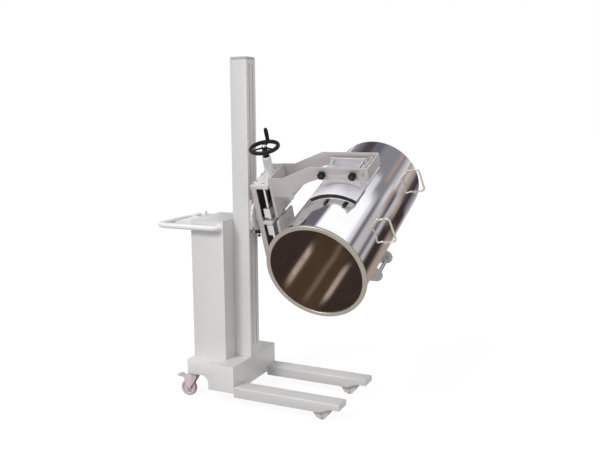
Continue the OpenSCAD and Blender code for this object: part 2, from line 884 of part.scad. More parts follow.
// The guide of the indexing pin, screwed to the plate under the disc
module index_bracket() {
    color(black) on_base() translate([0, 0, axis_z]) {
        difference() {
            block([plate_x1, -22, -bracket_low], [disc_x1 + 4, 22, -disc_r - 3]);
            translate([index_x, 0, 0]) bar_z(-bracket_low - 1, 0, index_r + run);
        }
        for (side = [-1, 1]) translate([0, side * 14, -bracket_low + 8]) bar_x(disc_x1 + 3, disc_x1 + 8, 5);
    }
}

module index_pin() {
    color(black) on_base() translate([index_x, 0, axis_z]) {
        bar_z(-bracket_low - 13, -disc_r - 1, index_r);
        bar_z(-bracket_low - 21, -bracket_low - 11, 9);
    }
}

// CLAMP HEAD

module pivot_shaft() {
    color(steel) on_head() {
        bar_x(plate_x0 + 3 + gap, plate_x0 + 8 - gap, pivot_r + 8);
        bar_x(plate_x0 + 7, channel_x - 7, pivot_r);
        bar_x(disc_x1, disc_x1 + 10, pivot_r + 28);
        bar_x(disc_x1 + 9, channel_x - 7, pivot_r + 10);
        bar_x(channel_x - 8, channel_x, pivot_r + 32);
        for (i = [0:5]) rotate([60 * i, 0, 0])
            translate([0, pivot_r + 20, 0]) bar_x(disc_x1 + 9, disc_x1 + 15, 6);
    }
}

module index_disc() {
    color(steel) on_head() difference() {
        bar_x(disc_x0, disc_x1, disc_r);
        bar_x(disc_x0 - 1, disc_x1 + 1, pivot_r + run);
        for (i = [0:index_count - 1]) rotate([i * 360 / index_count - tilt, 0, 0])
            translate([index_x, 0, 0]) bar_z(-disc_r - 1, -disc_r + 14, index_r + gap);
    }
}

channel_end = half_c - end_plate_t;

module head_channel() {
    color(paint) on_head() {
        block([channel_x, -half_h, -channel_end], [web_x, half_h, channel_end]);
        for (side = [-1, 1]) {
            low = side > 0 ? half_h - 8 : -half_h;
            block([channel_x, low, -channel_end], [channel_x + channel_flange, low + 8, channel_end]);
        }
    }
}

module head_cross_plates() {
    color(paint) on_head() difference() {
        union() {
            block([channel_x, -half_h, channel_end], [channel_x + end_plate_l, half_h, half_c]);
            block([channel_x, -half_h, -half_c], [channel_x + end_plate_l, half_h, -channel_end]);
            block([web_x, -half_h + 8, -9], [block_x1, half_h - 8, 9]);
            block([channel_x + channel_flange, -half_h, -9], [block_x1, half_h, 9]);
            translate([screw_x, 0, 0]) bar_z(-9, 9, clamp_r + 12);
        }
        translate([screw_x, 0, 0]) bar_z(-half_c - 1, half_c + 1, clamp_r + run);
        for (side = [-1, 1])
            translate([rod_x, side * rod_y, 0]) bar_z(-half_c - 1, half_c + 1, rod_d / 2 + run);
    }
}

module guide_rods() {
    color(polished) on_head() for (side = [-1, 1])
        translate([rod_x, side * rod_y, 0]) bar_z(-half_c, half_c, rod_d / 2);
}

module screw_column() {
    color(paint_shade) on_head() translate([screw_x, 0, 0]) difference() {
        bar_z(half_c, column_top, column_d / 2);
        bar_z(half_c - 1, column_top - 20, clamp_r + 7);
        bar_z(half_c, column_top + 1, clamp_r + run);
    }
}

module clamp_screw() {
    color(polished) on_head() translate([screw_x, 0, 0]) {
        bar_z(-half_c + 4, wheel_z + 8, clamp_r);
        bar_z(column_top - 34, column_top - 20 - gap, clamp_r + 6);
        bar_z(wheel_z + 7, wheel_z + 16, clamp_r + 5);
    }
}

module handwheel() {
    color(black) on_head() translate([screw_x, 0, 0]) {
        difference() {
            union() {
                translate([0, 0, column_top + gap]) cylinder(h = 26, r1 = 19, r2 = 16);
                bar_z(column_top + 25, wheel_z + 7, 16);
                translate([0, 0, wheel_z]) for (i = [0:2])
                    rotate([0, 0, grip_angle + 120 * i]) bar_x(13, wheel_r, 6);
            }
            bar_z(column_top, wheel_z + 8, clamp_r + run);
        }
        translate([0, 0, wheel_z]) rotate_extrude()
            translate([wheel_r, 0]) circle(r = wheel_rim_d / 2, $fn = 32);
        rotate([0, 0, grip_angle]) translate([wheel_r, 0, 0]) {
            bar_z(wheel_z, grip_z0 + grip_l + 1, grip_pin_r);
            bar_z(grip_z0 + grip_l + gap, grip_z0 + grip_l + 4, grip_pin_r + 3);
        }
    }
}

module crank_grip() {
    color(black) on_head() translate([screw_x, 0, 0]) rotate([0, 0, grip_angle]) translate([wheel_r, 0, 0])
        difference() {
            bar_z(grip_z0, grip_z0 + grip_l, grip_r);
            bar_z(grip_z0 - 1, grip_z0 + grip_l + 1, grip_pin_r + run);
        }
}

// JAWS

// The sliding crosshead of one jaw, from z0 to z1, bridged to its plate above low
module crosshead(z0, z1, low) {
    on_head() difference() {
        union() {
            block([block_x0, -rod_y - block_cheek, z0], [block_x1, rod_y + block_cheek, z1]);
            block([block_x1 - 1, -bridge_w / 2, low], [jaw_x, bridge_w / 2, z1]);
            translate([screw_x, 0, 0]) bar_z(z0, z1, clamp_r + 12);
        }
        translate([screw_x, 0, 0]) bar_z(z0 - 1, z1 + 1, clamp_r + run);
        for (side = [-1, 1]) translate([rod_x, side * rod_y, 0]) bar_z(z0 - 1, z1 + 1, rod_d / 2 + run);
    }
}

module upper_crosshead() {
    color(steel) crosshead(upper_block[0], upper_block[1], upper_plate_low);
}

module lower_crosshead() {
    color(steel) crosshead(lower_block[0], lower_block[1], lower_block[0]);
}

module upper_jaw_plate() {
    color(paint) on_head() {
        block([jaw_x, -half_h, upper_plate_low], [arm_x, half_h, upper_root_top]);
        block([jaw_x - gusset_l, half_h - 13, half_c + 9], [jaw_x + 1, half_h - 5, upper_root_top]);
    }
}

module lower_jaw_plate() {
    color(paint) on_head()
        block([jaw_x, -half_h, -lower_root_low], [arm_x, half_h, lower_plate_top]);
}

upper_inner = upper_arm_top - arm_band;
upper_root = upper_root_top - arm_root;
lower_root = -lower_root_low + arm_root;
tie_at = [arm_reach - 27, upper_arm_top - 22];
root_x = arm_x + 106;
upper_tube_z = upper_root + 2;
lower_tube_z = lower_root - 2;

module upper_outline() {
    difference() {
        union() {
            polygon([
                [arm_x, upper_root], [arm_x + 84, upper_root - 2], [arm_x + 131, upper_root + 32],
                [arm_x + 186, upper_inner - 45], [arm_x + 233, upper_inner - 23],
                [arm_x + 290, upper_inner - 3], [arm_reach, upper_inner], [arm_reach, upper_arm_top],
                [arm_x + 253, upper_arm_top - 1], [arm_x + 142, upper_arm_top - 46],
                [arm_x + 68, upper_root_top], [arm_x, upper_root_top]
            ]);
            translate([root_x, upper_tube_z]) circle(r = root_tube_r + 7);
        }
        translate([root_x, upper_tube_z]) circle(r = root_tube_r + run);
        for (x = [rear_pin_x, front_pin_x]) translate([x, pin_z]) circle(r = pin_r + run);
        translate(tie_at) circle(r = 5 + run);
    }
}

module upper_arms() {
    color(paint) on_head() {
        plate_y(-half_h, -half_h + arm_t) upper_outline();
        plate_y(half_h - arm_t, half_h) upper_outline();
    }
}

module upper_cross_members() {
    color(paint) on_head() {
        block([arm_reach, -half_h, upper_inner], [arm_reach + 8, half_h, upper_arm_top]);
        translate([root_x, 0, upper_tube_z]) bar_y(-half_h - 2, half_h + 2, root_tube_r);
        translate([tie_at[0], 0, tie_at[1]]) {
            bar_y(-half_h - 5, half_h + 5, 5);
            for (side = [-1, 1]) translate([0, side * (half_h + 4), 0]) bar_y(-3, 3, 9);
        }
    }
}

saddle_lug_y = half_h - arm_t - 16;

module upper_saddle() {
    color(polished) on_head() {
        shell_band(sheet_r, saddle_r, 90 - saddle_angle, 90 + saddle_angle, saddle_l / 2);
        for (low = [-saddle_lug_y, saddle_lug_y - 8]) plate_y(low, low + 8) difference() {
            translate([rear_pin_x - 20, 120])
                square([front_pin_x - rear_pin_x + 40, pin_z - 104]);
            translate([drum_x, 0]) circle(r = saddle_r - 2, $fn = 96);
            for (x = [rear_pin_x, front_pin_x]) translate([x, pin_z]) circle(r = pin_r + run);
        }
    }
}

module upper_liner() {
    color(rubber) on_head()
        shell_band(liner_r, sheet_r, 90 - saddle_angle, 90 + saddle_angle, saddle_l / 2);
}

module saddle_pins() {
    color(steel) on_head() for (x = [rear_pin_x, front_pin_x]) translate([x, 0, pin_z]) {
        bar_y(-half_h - 24, half_h + 4, pin_r);
        bar_y(half_h, half_h + 7, pin_r + 5);
    }
}

// A fluted knob on the right-hand end of a saddle pin
module knob(x) {
    on_head() translate([x, 0, pin_z]) difference() {
        union() {
            bar_y(-half_h - 9, -half_h - gap, 14);
            bar_y(-half_h - 30, -half_h - 8, knob_d / 2);
        }
        bar_y(-half_h - 24 - gap, 0, pin_r + run);
        for (i = [0:7]) rotate([0, 45 * i, 0])
            translate([knob_d / 2 + 2, 0, 0]) bar_y(-half_h - 31, -half_h - 8, 5);
    }
}

module front_knob() {
    color(black) knob(front_pin_x);
}

module rear_knob() {
    color(black) knob(rear_pin_x);
}

lower_inner = tip_z + tip_r;
low_pin_z = -lower_arm_low + 30;
low_pins = [rear_pin_x, front_pin_x];
tip_tube = [tip_x + 16, tip_z];

module lower_outline() {
    difference() {
        union() {
            polygon([
                [arm_x, lower_root], [arm_x + 84, lower_root + 2], [arm_x + 131, lower_root - 32],
                [arm_x + 186, lower_inner + 25], [arm_x + 240, lower_inner],
                [tip_x, lower_inner], [tip_x, -lower_arm_low], [arm_x + 253, -lower_arm_low],
                [arm_x + 142, -lower_arm_low + 46], [arm_x + 68, -lower_root_low], [arm_x, -lower_root_low]
            ]);
            translate([tip_x, tip_z]) circle(r = tip_r);
            translate([root_x, lower_tube_z]) circle(r = root_tube_r + 7);
        }
        translate([drum_x, 0]) circle(r = saddle_r + 3, $fn = 96);
        translate([root_x, lower_tube_z]) circle(r = root_tube_r + run);
        for (x = low_pins) translate([x, low_pin_z]) circle(r = pin_r + run);
    }
}

module lower_arms() {
    color(paint) on_head() {
        plate_y(-half_h, -half_h + arm_t) lower_outline();
        plate_y(half_h - arm_t, half_h) lower_outline();
    }
}

module lower_cross_rods() {
    color(paint_shade) on_head() {
        translate([root_x, 0, lower_tube_z]) bar_y(-half_h - 2, half_h + 2, root_tube_r);
        for (x = low_pins) translate([x, 0, low_pin_z]) {
            bar_y(-half_h - 5, half_h + 5, pin_r);
            for (side = [-1, 1]) translate([0, side * (half_h + 4), 0]) bar_y(-4, 4, pin_r + 4);
        }
        translate([tip_tube[0], 0, tip_tube[1]]) bar_y(-half_h + arm_t, half_h - arm_t, 11);
    }
}

module lower_saddle() {
    color(polished) on_head() {
        shell_band(sheet_r, saddle_r, 270 - saddle_angle, 270 + saddle_angle, saddle_l / 2);
        for (low = [-saddle_lug_y, saddle_lug_y - 8]) plate_y(low, low + 8) difference() {
            translate([rear_pin_x - 20, low_pin_z - 18])
                square([front_pin_x - rear_pin_x + 40, -low_pin_z - 100]);
            translate([drum_x, 0]) circle(r = saddle_r - 2, $fn = 96);
            for (x = low_pins) translate([x, low_pin_z]) circle(r = pin_r + run);
        }
    }
}

module lower_liner() {
    color(rubber) on_head()
        shell_band(liner_r, sheet_r, 270 - saddle_angle, 270 + saddle_angle, saddle_l / 2);
}

// DRUM

// Turns an outline of radius and height about the drum's axis
module turned() {
    around_drum() rotate_extrude($fn = 96) children();
}

// The drum's wall is rolled from two half sheets, and a pressed end closes it, with a seam
// between each two
module drum_shell() {
    inner_r = drum_r - drum_wall;
    low = -base_y + end_round;
    seam_turn = asin(seam / drum_r);
    color(polished) on_head() {
        for (start = [0, 180]) around_drum() rotate([0, 0, start + seam_turn])
            rotate_extrude(angle = 180 - 2 * seam_turn, $fn = 128)
                translate([inner_r, low + 2 * seam])
                    square([drum_wall, base_y - end_round - mouth_y - drum_rim_l - 2 * seam]);
        turned() difference() {
            union() {
                translate([0, -base_y]) square([drum_r - end_round, end_round]);
                translate([drum_r - end_round, low]) circle(r = end_round, $fn = 48);
            }
            translate([0, -base_y + drum_wall]) square([drum_r - end_round, 2 * end_round]);
            translate([drum_r - end_round, low]) circle(r = end_round - drum_wall, $fn = 48);
            translate([0, low]) square([drum_r + 1, 2 * end_round]);
        }
    }
}

module drum_rim() {
    color(paint_shade) on_head() turned()
        rounded([drum_mouth_d / 2, -mouth_y - drum_rim_l], [drum_rim_d / 2, -mouth_y], rim_round);
}

module drum_handles() {
    color(polished) on_head() for (y = bow_places) translate([drum_x, y, 0]) rotate([0, -bow_angle, 0])
        difference() {
            union() {
                for (side = [-1, 1]) {
                    translate([0, 0, side * (bow_side + bow_bend)]) bar_x(drum_r - 20, bow_out, bow_r);
                    translate([bow_out, 0, side * bow_side]) rotate([90, 0, 0])
                        bend(bow_bend, bow_r, side > 0 ? 0 : 270);
                }
                translate([bow_out + bow_bend, 0, 0]) bar_z(-bow_side, bow_side, bow_r);
            }
            bar_y(-20, 20, drum_r);
        }
}

chassis();
right_leg();
left_leg();
roller_brackets();
right_roller();
left_roller();
right_caster_fork();
left_caster_fork();
right_caster_wheel();
left_caster_wheel();
right_brake_pedal();
left_brake_pedal();
cabinet_shell();
cabinet_lid();
cabinet_door();
push_handle();
control_console();
stop_button();
lift_lever();
battery_pack();
lift_controller();
lift_gearmotor();
mast();
mast_cap();
screw_bearings();
lift_screw();
carriage_frame();
carriage_plate();
guide_shoes();
lift_nut();
pivot_bearing();
index_bracket();
index_pin();
pivot_shaft();
index_disc();
head_channel();
head_cross_plates();
guide_rods();
screw_column();
clamp_screw();
handwheel();
crank_grip();
upper_crosshead();
upper_jaw_plate();
upper_arms();
upper_cross_members();
upper_saddle();
upper_liner();
saddle_pins();
front_knob();
rear_knob();
lower_crosshead();
lower_jaw_plate();
lower_arms();
lower_cross_rods();
lower_saddle();
lower_liner();
drum_shell();
drum_rim();
drum_handles();
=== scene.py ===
"""Mobile drum clamp: dresses the CAD model of a wheeled drum lifter.

Each sub-assembly is a class that holds its sizes in millimetres, builds its
pieces and dresses them. The base frame has X forward from the front of the
base, Y to the machine's left and Z up from the floor. The head frame turns
with the clamp head: its y runs along the drum and its z along the clamp screw.
"""

from __future__ import annotations

import json
import logging
import math
from dataclasses import dataclass, field
from enum import Enum
from typing import Iterable, Sequence

import bmesh
import bpy
from mathutils import Matrix, Vector

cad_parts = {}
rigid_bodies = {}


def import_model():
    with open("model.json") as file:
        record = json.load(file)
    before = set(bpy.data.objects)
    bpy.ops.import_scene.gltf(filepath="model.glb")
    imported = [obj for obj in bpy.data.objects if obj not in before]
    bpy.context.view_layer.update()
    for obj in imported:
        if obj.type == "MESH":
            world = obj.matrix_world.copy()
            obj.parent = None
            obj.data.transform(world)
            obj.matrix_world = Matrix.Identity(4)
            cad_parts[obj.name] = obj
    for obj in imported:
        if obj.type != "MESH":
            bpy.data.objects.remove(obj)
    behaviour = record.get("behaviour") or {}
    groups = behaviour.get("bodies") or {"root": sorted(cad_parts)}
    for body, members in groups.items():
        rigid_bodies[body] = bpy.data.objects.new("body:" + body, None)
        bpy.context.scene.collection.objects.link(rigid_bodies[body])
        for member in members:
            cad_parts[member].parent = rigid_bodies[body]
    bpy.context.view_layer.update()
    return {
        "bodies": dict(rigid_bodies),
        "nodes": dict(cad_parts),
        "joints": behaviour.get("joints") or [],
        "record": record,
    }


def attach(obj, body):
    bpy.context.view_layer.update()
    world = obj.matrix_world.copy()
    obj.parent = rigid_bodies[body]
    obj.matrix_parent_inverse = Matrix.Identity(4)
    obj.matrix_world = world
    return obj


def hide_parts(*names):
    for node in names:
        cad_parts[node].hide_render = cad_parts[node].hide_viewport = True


LOG = logging.getLogger("drum_clamp")
MM = 0.001
Point = tuple[float, float, float]
Profile = Sequence[tuple[float, float]]


class Axis(Enum):
    """The direction that a turned or drilled piece points along."""

    X = "X"
    Y = "Y"
    Z = "Z"

    def turn(self) -> Matrix:
        """Return the rotation that takes Z onto this axis.

        Returns:
            The rotation.
        """
        if self is Axis.X:
            return Matrix.Rotation(math.radians(90), 4, "Y")
        if self is Axis.Y:
            return Matrix.Rotation(math.radians(-90), 4, "X")
        return Matrix.Identity(4)


class Drive(Enum):
    """The kinds of screw head on the machine."""

    HEX = "hex"
    SOCKET = "socket"
    BUTTON = "button"


@dataclass(frozen=True)
class Placing:
    """Where the base frame and the head frame stand in the row's frame."""

    origin_x: float = 188.7355
    origin_y: float = -27.9867
    axis_z: float = 1105.0
    tilt: float = 22.5

    def base(self) -> Matrix:
        """Return the matrix from base millimetres to metres."""
        shift = Matrix.Translation((-self.origin_x, -self.origin_y, 0))
        return Matrix.Scale(MM, 4) @ shift

    def head(self) -> Matrix:
        """Return the matrix from head millimetres to metres."""
        lift = Matrix.Translation((0, 0, self.axis_z))
        return self.base() @ lift @ Matrix.Rotation(math.radians(self.tilt), 4, "X")


PLACING = Placing()
DRUM_AT = (626.0, 0.0, 0.0)


# Shader groups and finishes


class NodeTree:
    """A thin helper that adds and wires shader nodes."""

    def __init__(self, tree: bpy.types.NodeTree) -> None:
        """Keep the tree that is being filled."""
        self.tree = tree

    def add(self, kind: str, **values: object) -> bpy.types.Node:
        """Add a node and set its properties and inputs.

        Args:
            kind: the node's type name.
            **values: a property by its name, or an input as in_NAME with
                spaces written as underscores.

        Returns:
            The new node.
        """
        node = self.tree.nodes.new(kind)
        for key, value in values.items():
            if key.startswith("in_"):
                node.inputs[key[3:].replace("_", " ")].default_value = value
            else:
                setattr(node, key, value)
        return node

    def link(self, source: bpy.types.NodeSocket, target: bpy.types.NodeSocket) -> None:
        """Join an output to an input."""
        self.tree.links.new(source, target)

    def math(self, operation: str, left: object, right: object = 0.0) -> bpy.types.NodeSocket:
        """Add a math node over sockets or numbers.

        Args:
            operation: the math node's operation.
            left: the first socket or number.
            right: the second socket or number.

        Returns:
            The result's socket.
        """
        node = self.add("ShaderNodeMath", operation=operation)
        for socket, value in zip(node.inputs, (left, right)):
            if isinstance(value, (int, float)):
                socket.default_value = value
            else:
                self.link(value, socket)
        return node.outputs[0]


class Effects:
    """The surface effects that several finishes share, as node groups."""

    def __init__(self) -> None:
        """Build each group once."""
        self.edge_rub = self._edge_rub()
        self.handling = self._handling()
        self.peel = self._peel()
        self.grain = self._grain()

    @staticmethod
    def _group(name: str, inputs: dict[str, float], outputs: Iterable[str]) -> tuple:
        """Make an empty group with float sockets.

        Args:
            name: the group's name.
            inputs: each input's name and starting value.
            outputs: the outputs' names.

        Returns:
            The group, its helper, its input node and its output node.
        """
        group = bpy.data.node_groups.new(name, "ShaderNodeTree")
        for key, value in inputs.items():
            socket = group.interface.new_socket(name=key, in_out="INPUT", socket_type="NodeSocketFloat")
            socket.default_value = value
        for key in outputs:
            group.interface.new_socket(name=key, in_out="OUTPUT", socket_type="NodeSocketFloat")
        tree = NodeTree(group)
        return group, tree, tree.add("NodeGroupInput"), tree.add("NodeGroupOutput")

    def _edge_rub(self) -> bpy.types.NodeTree:
        """Build the mask of rubbed edges, broken up by noise.

        Returns:
            The node group.
        """
        group, tree, given, out = self._group("edge_rub", {"Width": 0.002, "Amount": 0.5}, ["Mask"])
        bevel = tree.add("ShaderNodeBevel", samples=4)
        tree.link(given.outputs["Width"], bevel.inputs["Radius"])
        shape = tree.add("ShaderNodeNewGeometry")
        dot = tree.add("ShaderNodeVectorMath", operation="DOT_PRODUCT")
        tree.link(bevel.outputs["Normal"], dot.inputs[0])
        tree.link(shape.outputs["Normal"], dot.inputs[1])
        edge = tree.math("SUBTRACT", 1.0, dot.outputs["Value"])
        edge = tree.math("MULTIPLY", edge, 7.0)
        where = tree.add("ShaderNodeTexCoord")
        noise = tree.add("ShaderNodeTexNoise", in_Scale=38.0, in_Detail=5.0, in_Roughness=0.65)
        tree.link(where.outputs["Object"], noise.inputs["Vector"])
        broken = tree.math("MULTIPLY", tree.math("SUBTRACT", noise.outputs["Fac"], 0.46), 5.0)
        mask = tree.math("MULTIPLY", edge, broken)
        mask = tree.math("MULTIPLY", mask, given.outputs["Amount"])
        clamp = tree.add("ShaderNodeClamp")
        tree.link(mask, clamp.inputs["Value"])
        tree.link(clamp.outputs["Result"], out.inputs["Mask"])
        return group

    def _handling(self) -> bpy.types.NodeTree:
        """Build the broad, uneven mask of dust and handling marks.

        Returns:
            The node group.
        """
        group, tree, given, out = self._group("handling_marks", {"Scale": 6.0, "Amount": 1.0}, ["Mask"])
        where = tree.add("ShaderNodeTexCoord")
        broad = tree.add("ShaderNodeTexNoise", in_Detail=4.0, in_Roughness=0.6, in_Distortion=0.4)
        tree.link(where.outputs["Object"], broad.inputs["Vector"])
        tree.link(given.outputs["Scale"], broad.inputs["Scale"])
        fine = tree.add("ShaderNodeTexNoise", in_Scale=180.0, in_Detail=2.0)
        tree.link(where.outputs["Object"], fine.inputs["Vector"])
        mixed = tree.math("ADD", tree.math("MULTIPLY", broad.outputs["Fac"], 0.8),
                          tree.math("MULTIPLY", fine.outputs["Fac"], 0.2))
        spread = tree.math("MULTIPLY", tree.math("SUBTRACT", mixed, 0.36), 3.2)
        clamp = tree.add("ShaderNodeClamp")
        tree.link(tree.math("MULTIPLY", spread, given.outputs["Amount"]), clamp.inputs["Value"])
        tree.link(clamp.outputs["Result"], out.inputs["Mask"])
        return group

    def _peel(self) -> bpy.types.NodeTree:
        """Build the orange-peel height of powder paint and moulded plastic.

        Returns:
            The node group.
        """
        group, tree, given, out = self._group("orange_peel", {"Scale": 420.0}, ["Height"])
        where = tree.add("ShaderNodeTexCoord")
        noise = tree.add("ShaderNodeTexNoise", in_Detail=2.0, in_Roughness=0.45)
        tree.link(where.outputs["Object"], noise.inputs["Vector"])
        tree.link(given.outputs["Scale"], noise.inputs["Scale"])
        tree.link(noise.outputs["Fac"], out.inputs["Height"])
        return group

    def _grain(self) -> bpy.types.NodeTree:
        """Build the fine drawn lines of ground and brushed metal.

        Returns:
            The node group.
        """
        inputs = {"Along X": 1.0, "Along Y": 1.0, "Along Z": 1.0, "Scale": 300.0}
        group, tree, given, out = self._group("metal_grain", inputs, ["Height"])
        where = tree.add("ShaderNodeTexCoord")
        turn = tree.add("ShaderNodeMapping")
        turn.inputs["Rotation"].default_value = (math.radians(-PLACING.tilt), 0.0, 0.0)
        tree.link(where.outputs["Object"], turn.inputs["Vector"])
        ratio = tree.add("ShaderNodeCombineXYZ")
        for axis in ("X", "Y", "Z"):
            tree.link(given.outputs["Along " + axis], ratio.inputs[axis])
        scaled = tree.add("ShaderNodeVectorMath", operation="MULTIPLY")
        tree.link(turn.outputs["Vector"], scaled.inputs[0])
        tree.link(ratio.outputs["Vector"], scaled.inputs[1])
        noise = tree.add("ShaderNodeTexNoise", in_Detail=3.0, in_Roughness=0.6)
        tree.link(scaled.outputs["Vector"], noise.inputs["Vector"])
        tree.link(given.outputs["Scale"], noise.inputs["Scale"])
        tree.link(noise.outputs["Fac"], out.inputs["Height"])
        return group


@dataclass(frozen=True)
class Finish:
    """What every finish has: a name, a colour and a record slot."""

    name: str
    slot: str
    colour: tuple[float, float, float]
    roughness: float = 0.4

    def _start(self) -> tuple[bpy.types.Material, NodeTree, bpy.types.Node]:
        """Make the material with its Principled shader.

        Returns:
            The material, its node helper and the shader node.
        """
        material = bpy.data.materials.new(self.name)
        material.use_nodes = True
        tree = NodeTree(material.node_tree)
        shader = material.node_tree.nodes["Principled BSDF"]
        shader.inputs["Base Color"].default_value = (*self.colour, 1.0)
        shader.inputs["Roughness"].default_value = self.roughness
        return material, tree, shader

    @staticmethod
    def _place(tree: NodeTree, group: bpy.types.NodeTree, **values: float) -> bpy.types.Node:
        """Place a shared effect with its own values.

        Args:
            tree: the material's node helper.
            group: the effect.
            **values: inputs by name, with spaces written as underscores.

        Returns:
            The group node.
        """
        node = tree.add("ShaderNodeGroup")
        node.node_tree = group
        for key, value in values.items():
            node.inputs[key.replace("_", " ")].default_value = value
        return node

    @staticmethod
    def _mix(tree: NodeTree, mask: bpy.types.NodeSocket, low: Sequence[float],
             high: Sequence[float] | bpy.types.NodeSocket) -> bpy.types.NodeSocket:
        """Mix two colours by a mask.

        Args:
            tree: the material's node helper.
            mask: the socket of the mask.
            low: the colour, or its socket, where the mask is 0.
            high: the colour where the mask is 1.

        Returns:
            The mixed colour's socket.
        """
        node = tree.add("ShaderNodeMix", data_type="RGBA")
        tree.link(mask, node.inputs[0])
        for socket, value in ((node.inputs[6], low), (node.inputs[7], high)):
            if isinstance(value, bpy.types.NodeSocket):
                tree.link(value, socket)
            else:
                socket.default_value = (*value, 1.0)
        return node.outputs[2]

    @staticmethod
    def _range(tree: NodeTree, mask: bpy.types.NodeSocket, low: float,
               high: float) -> bpy.types.NodeSocket:
        """Map a mask from 0 to 1 onto two numbers.

        Args:
            tree: the material's node helper.
            mask: the socket of the mask.
            low: the number where the mask is 0.
            high: the number where the mask is 1.

        Returns:
            The number's socket.
        """
        node = tree.add("ShaderNodeMapRange", in_To_Min=low, in_To_Max=high)
        tree.link(mask, node.inputs["Value"])
        return node.outputs["Result"]

    @staticmethod
    def _bump(tree: NodeTree, height: bpy.types.NodeSocket, shader: bpy.types.Node,
              strength: float, distance: float) -> None:
        """Feed a height to the shader's normal.

        Args:
            tree: the material's node helper.
            height: the socket of the height.
            shader: the Principled shader.
            strength: how strong the bump is.
            distance: its depth in metres.
        """
        bump = tree.add("ShaderNodeBump", in_Strength=strength, in_Distance=distance)
        tree.link(height, bump.inputs["Height"])
        tree.link(bump.outputs["Normal"], shader.inputs["Normal"])

    @staticmethod
    def _shade(colour: Sequence[float], factor: float) -> tuple[float, float, float]:
        """Return the colour, made lighter or darker by a factor."""
        return tuple(min(1.0, part * factor) for part in colour)

    def make(self, effects: Effects) -> bpy.types.Material:
        """Return the finished material; each kind of finish has its own."""
        raise NotImplementedError


@dataclass(frozen=True)
class PowderPaint(Finish):
    """Powder paint on steel: fine peel, dust in broad patches, worn edges."""

    primer: tuple[float, float, float] = (0.42, 0.41, 0.40)
    wear: float = 0.35
    dust: float = 0.5
    dulling: float = 0.14

    def make(self, effects: Effects) -> bpy.types.Material:
        """Build the painted material.

        Args:
            effects: the shared effects.

        Returns:
            The material.
        """
        material, tree, shader = self._start()
        marks = self._place(tree, effects.handling, Scale=3.5, Amount=self.dust)
        rub = self._place(tree, effects.edge_rub, Width=0.0022, Amount=self.wear)
        peel = self._place(tree, effects.peel, Scale=520.0)
        clean = self._mix(tree, marks.outputs["Mask"], self.colour, self._shade(self.colour, 0.93))
        worn = self._mix(tree, rub.outputs["Mask"], clean, self.primer)
        tree.link(worn, shader.inputs["Base Color"])
        tree.link(self._range(tree, marks.outputs["Mask"], self.roughness, self.roughness + self.dulling),
                  shader.inputs["Roughness"])
        shader.inputs["Coat Weight"].default_value = 0.15
        shader.inputs["Coat Roughness"].default_value = 0.25
        self._bump(tree, peel.outputs["Height"], shader, strength=0.12, distance=0.0004)
        return material


@dataclass(frozen=True)
class WorkedMetal(Finish):
    """Ground, brushed or polished metal with its grain along one direction."""

    along: tuple[float, float, float] = (1.0, 1.0, 0.06)
    scale: float = 320.0
    depth: float = 0.15
    spread: float = 0.12
    tarnish: float = 0.12

    def make(self, effects: Effects) -> bpy.types.Material:
        """Build the metal material.

        Args:
            effects: the shared effects.

        Returns:
            The material.
        """
        material, tree, shader = self._start()
        shader.inputs["Metallic"].default_value = 1.0
        grain = self._place(tree, effects.grain, Scale=self.scale)
        for axis, value in zip("XYZ", self.along):
            grain.inputs["Along " + axis].default_value = value
        marks = self._place(tree, effects.handling, Scale=9.0, Amount=1.0)
        dull = self._shade(self.colour, 1.0 - self.tarnish)
        tree.link(self._mix(tree, marks.outputs["Mask"], self.colour, dull), shader.inputs["Base Color"])
        drawn = tree.math("MULTIPLY", grain.outputs["Height"], marks.outputs["Mask"])
        tree.link(self._range(tree, drawn, self.roughness, self.roughness + self.spread),
                  shader.inputs["Roughness"])
        self._bump(tree, grain.outputs["Height"], shader, strength=self.depth, distance=0.0002)
        return material


@dataclass(frozen=True)
class DrumLining(WorkedMetal):
    """The drum's polished inside, with a painted reflection: in its own gloss rays it glows with soft
    panel tones.
    """

    glow: float = 1.2
    middle: float = -0.02

    def make(self, effects: Effects) -> bpy.types.Material:
        """Build the lining's material.

        Args:
            effects: the shared effects.

        Returns:
            The material.
        """
        material = super().make(effects)
        tree = NodeTree(material.node_tree)
        shader = material.node_tree.nodes["Principled BSDF"]
        # Painted reflection: where a gloss ray meets the lining, it turns black and not metallic and glows
        # with panel tones in place of its own reflected inside.
        gloss = tree.add("ShaderNodeLightPath").outputs["Is Glossy Ray"]
        own = shader.inputs["Base Color"].links[0].from_socket
        tree.link(self._mix(tree, gloss, own, (0.0, 0.0, 0.0)), shader.inputs["Base Color"])
        tree.link(self._range(tree, gloss, 1.0, 0.0), shader.inputs["Metallic"])
        shader.inputs["Specular IOR Level"].default_value = 0.0
        home = drum_axis(self.middle)
        place = tree.add("ShaderNodeMapping", vector_type="TEXTURE")
        place.inputs["Location"].default_value = home.translation
        place.inputs["Rotation"].default_value = home.to_euler()
        tree.link(tree.add("ShaderNodeTexCoord").outputs["Object"], place.inputs["Vector"])
        painted_reflection = panel_colour(tree, place.outputs["Vector"], LINING_PAINTED_REFLECTIONS)
        tree.link(painted_reflection, shader.inputs["Emission Color"])
        tree.link(tree.math("MULTIPLY", gloss, self.glow), shader.inputs["Emission Strength"])
        return material


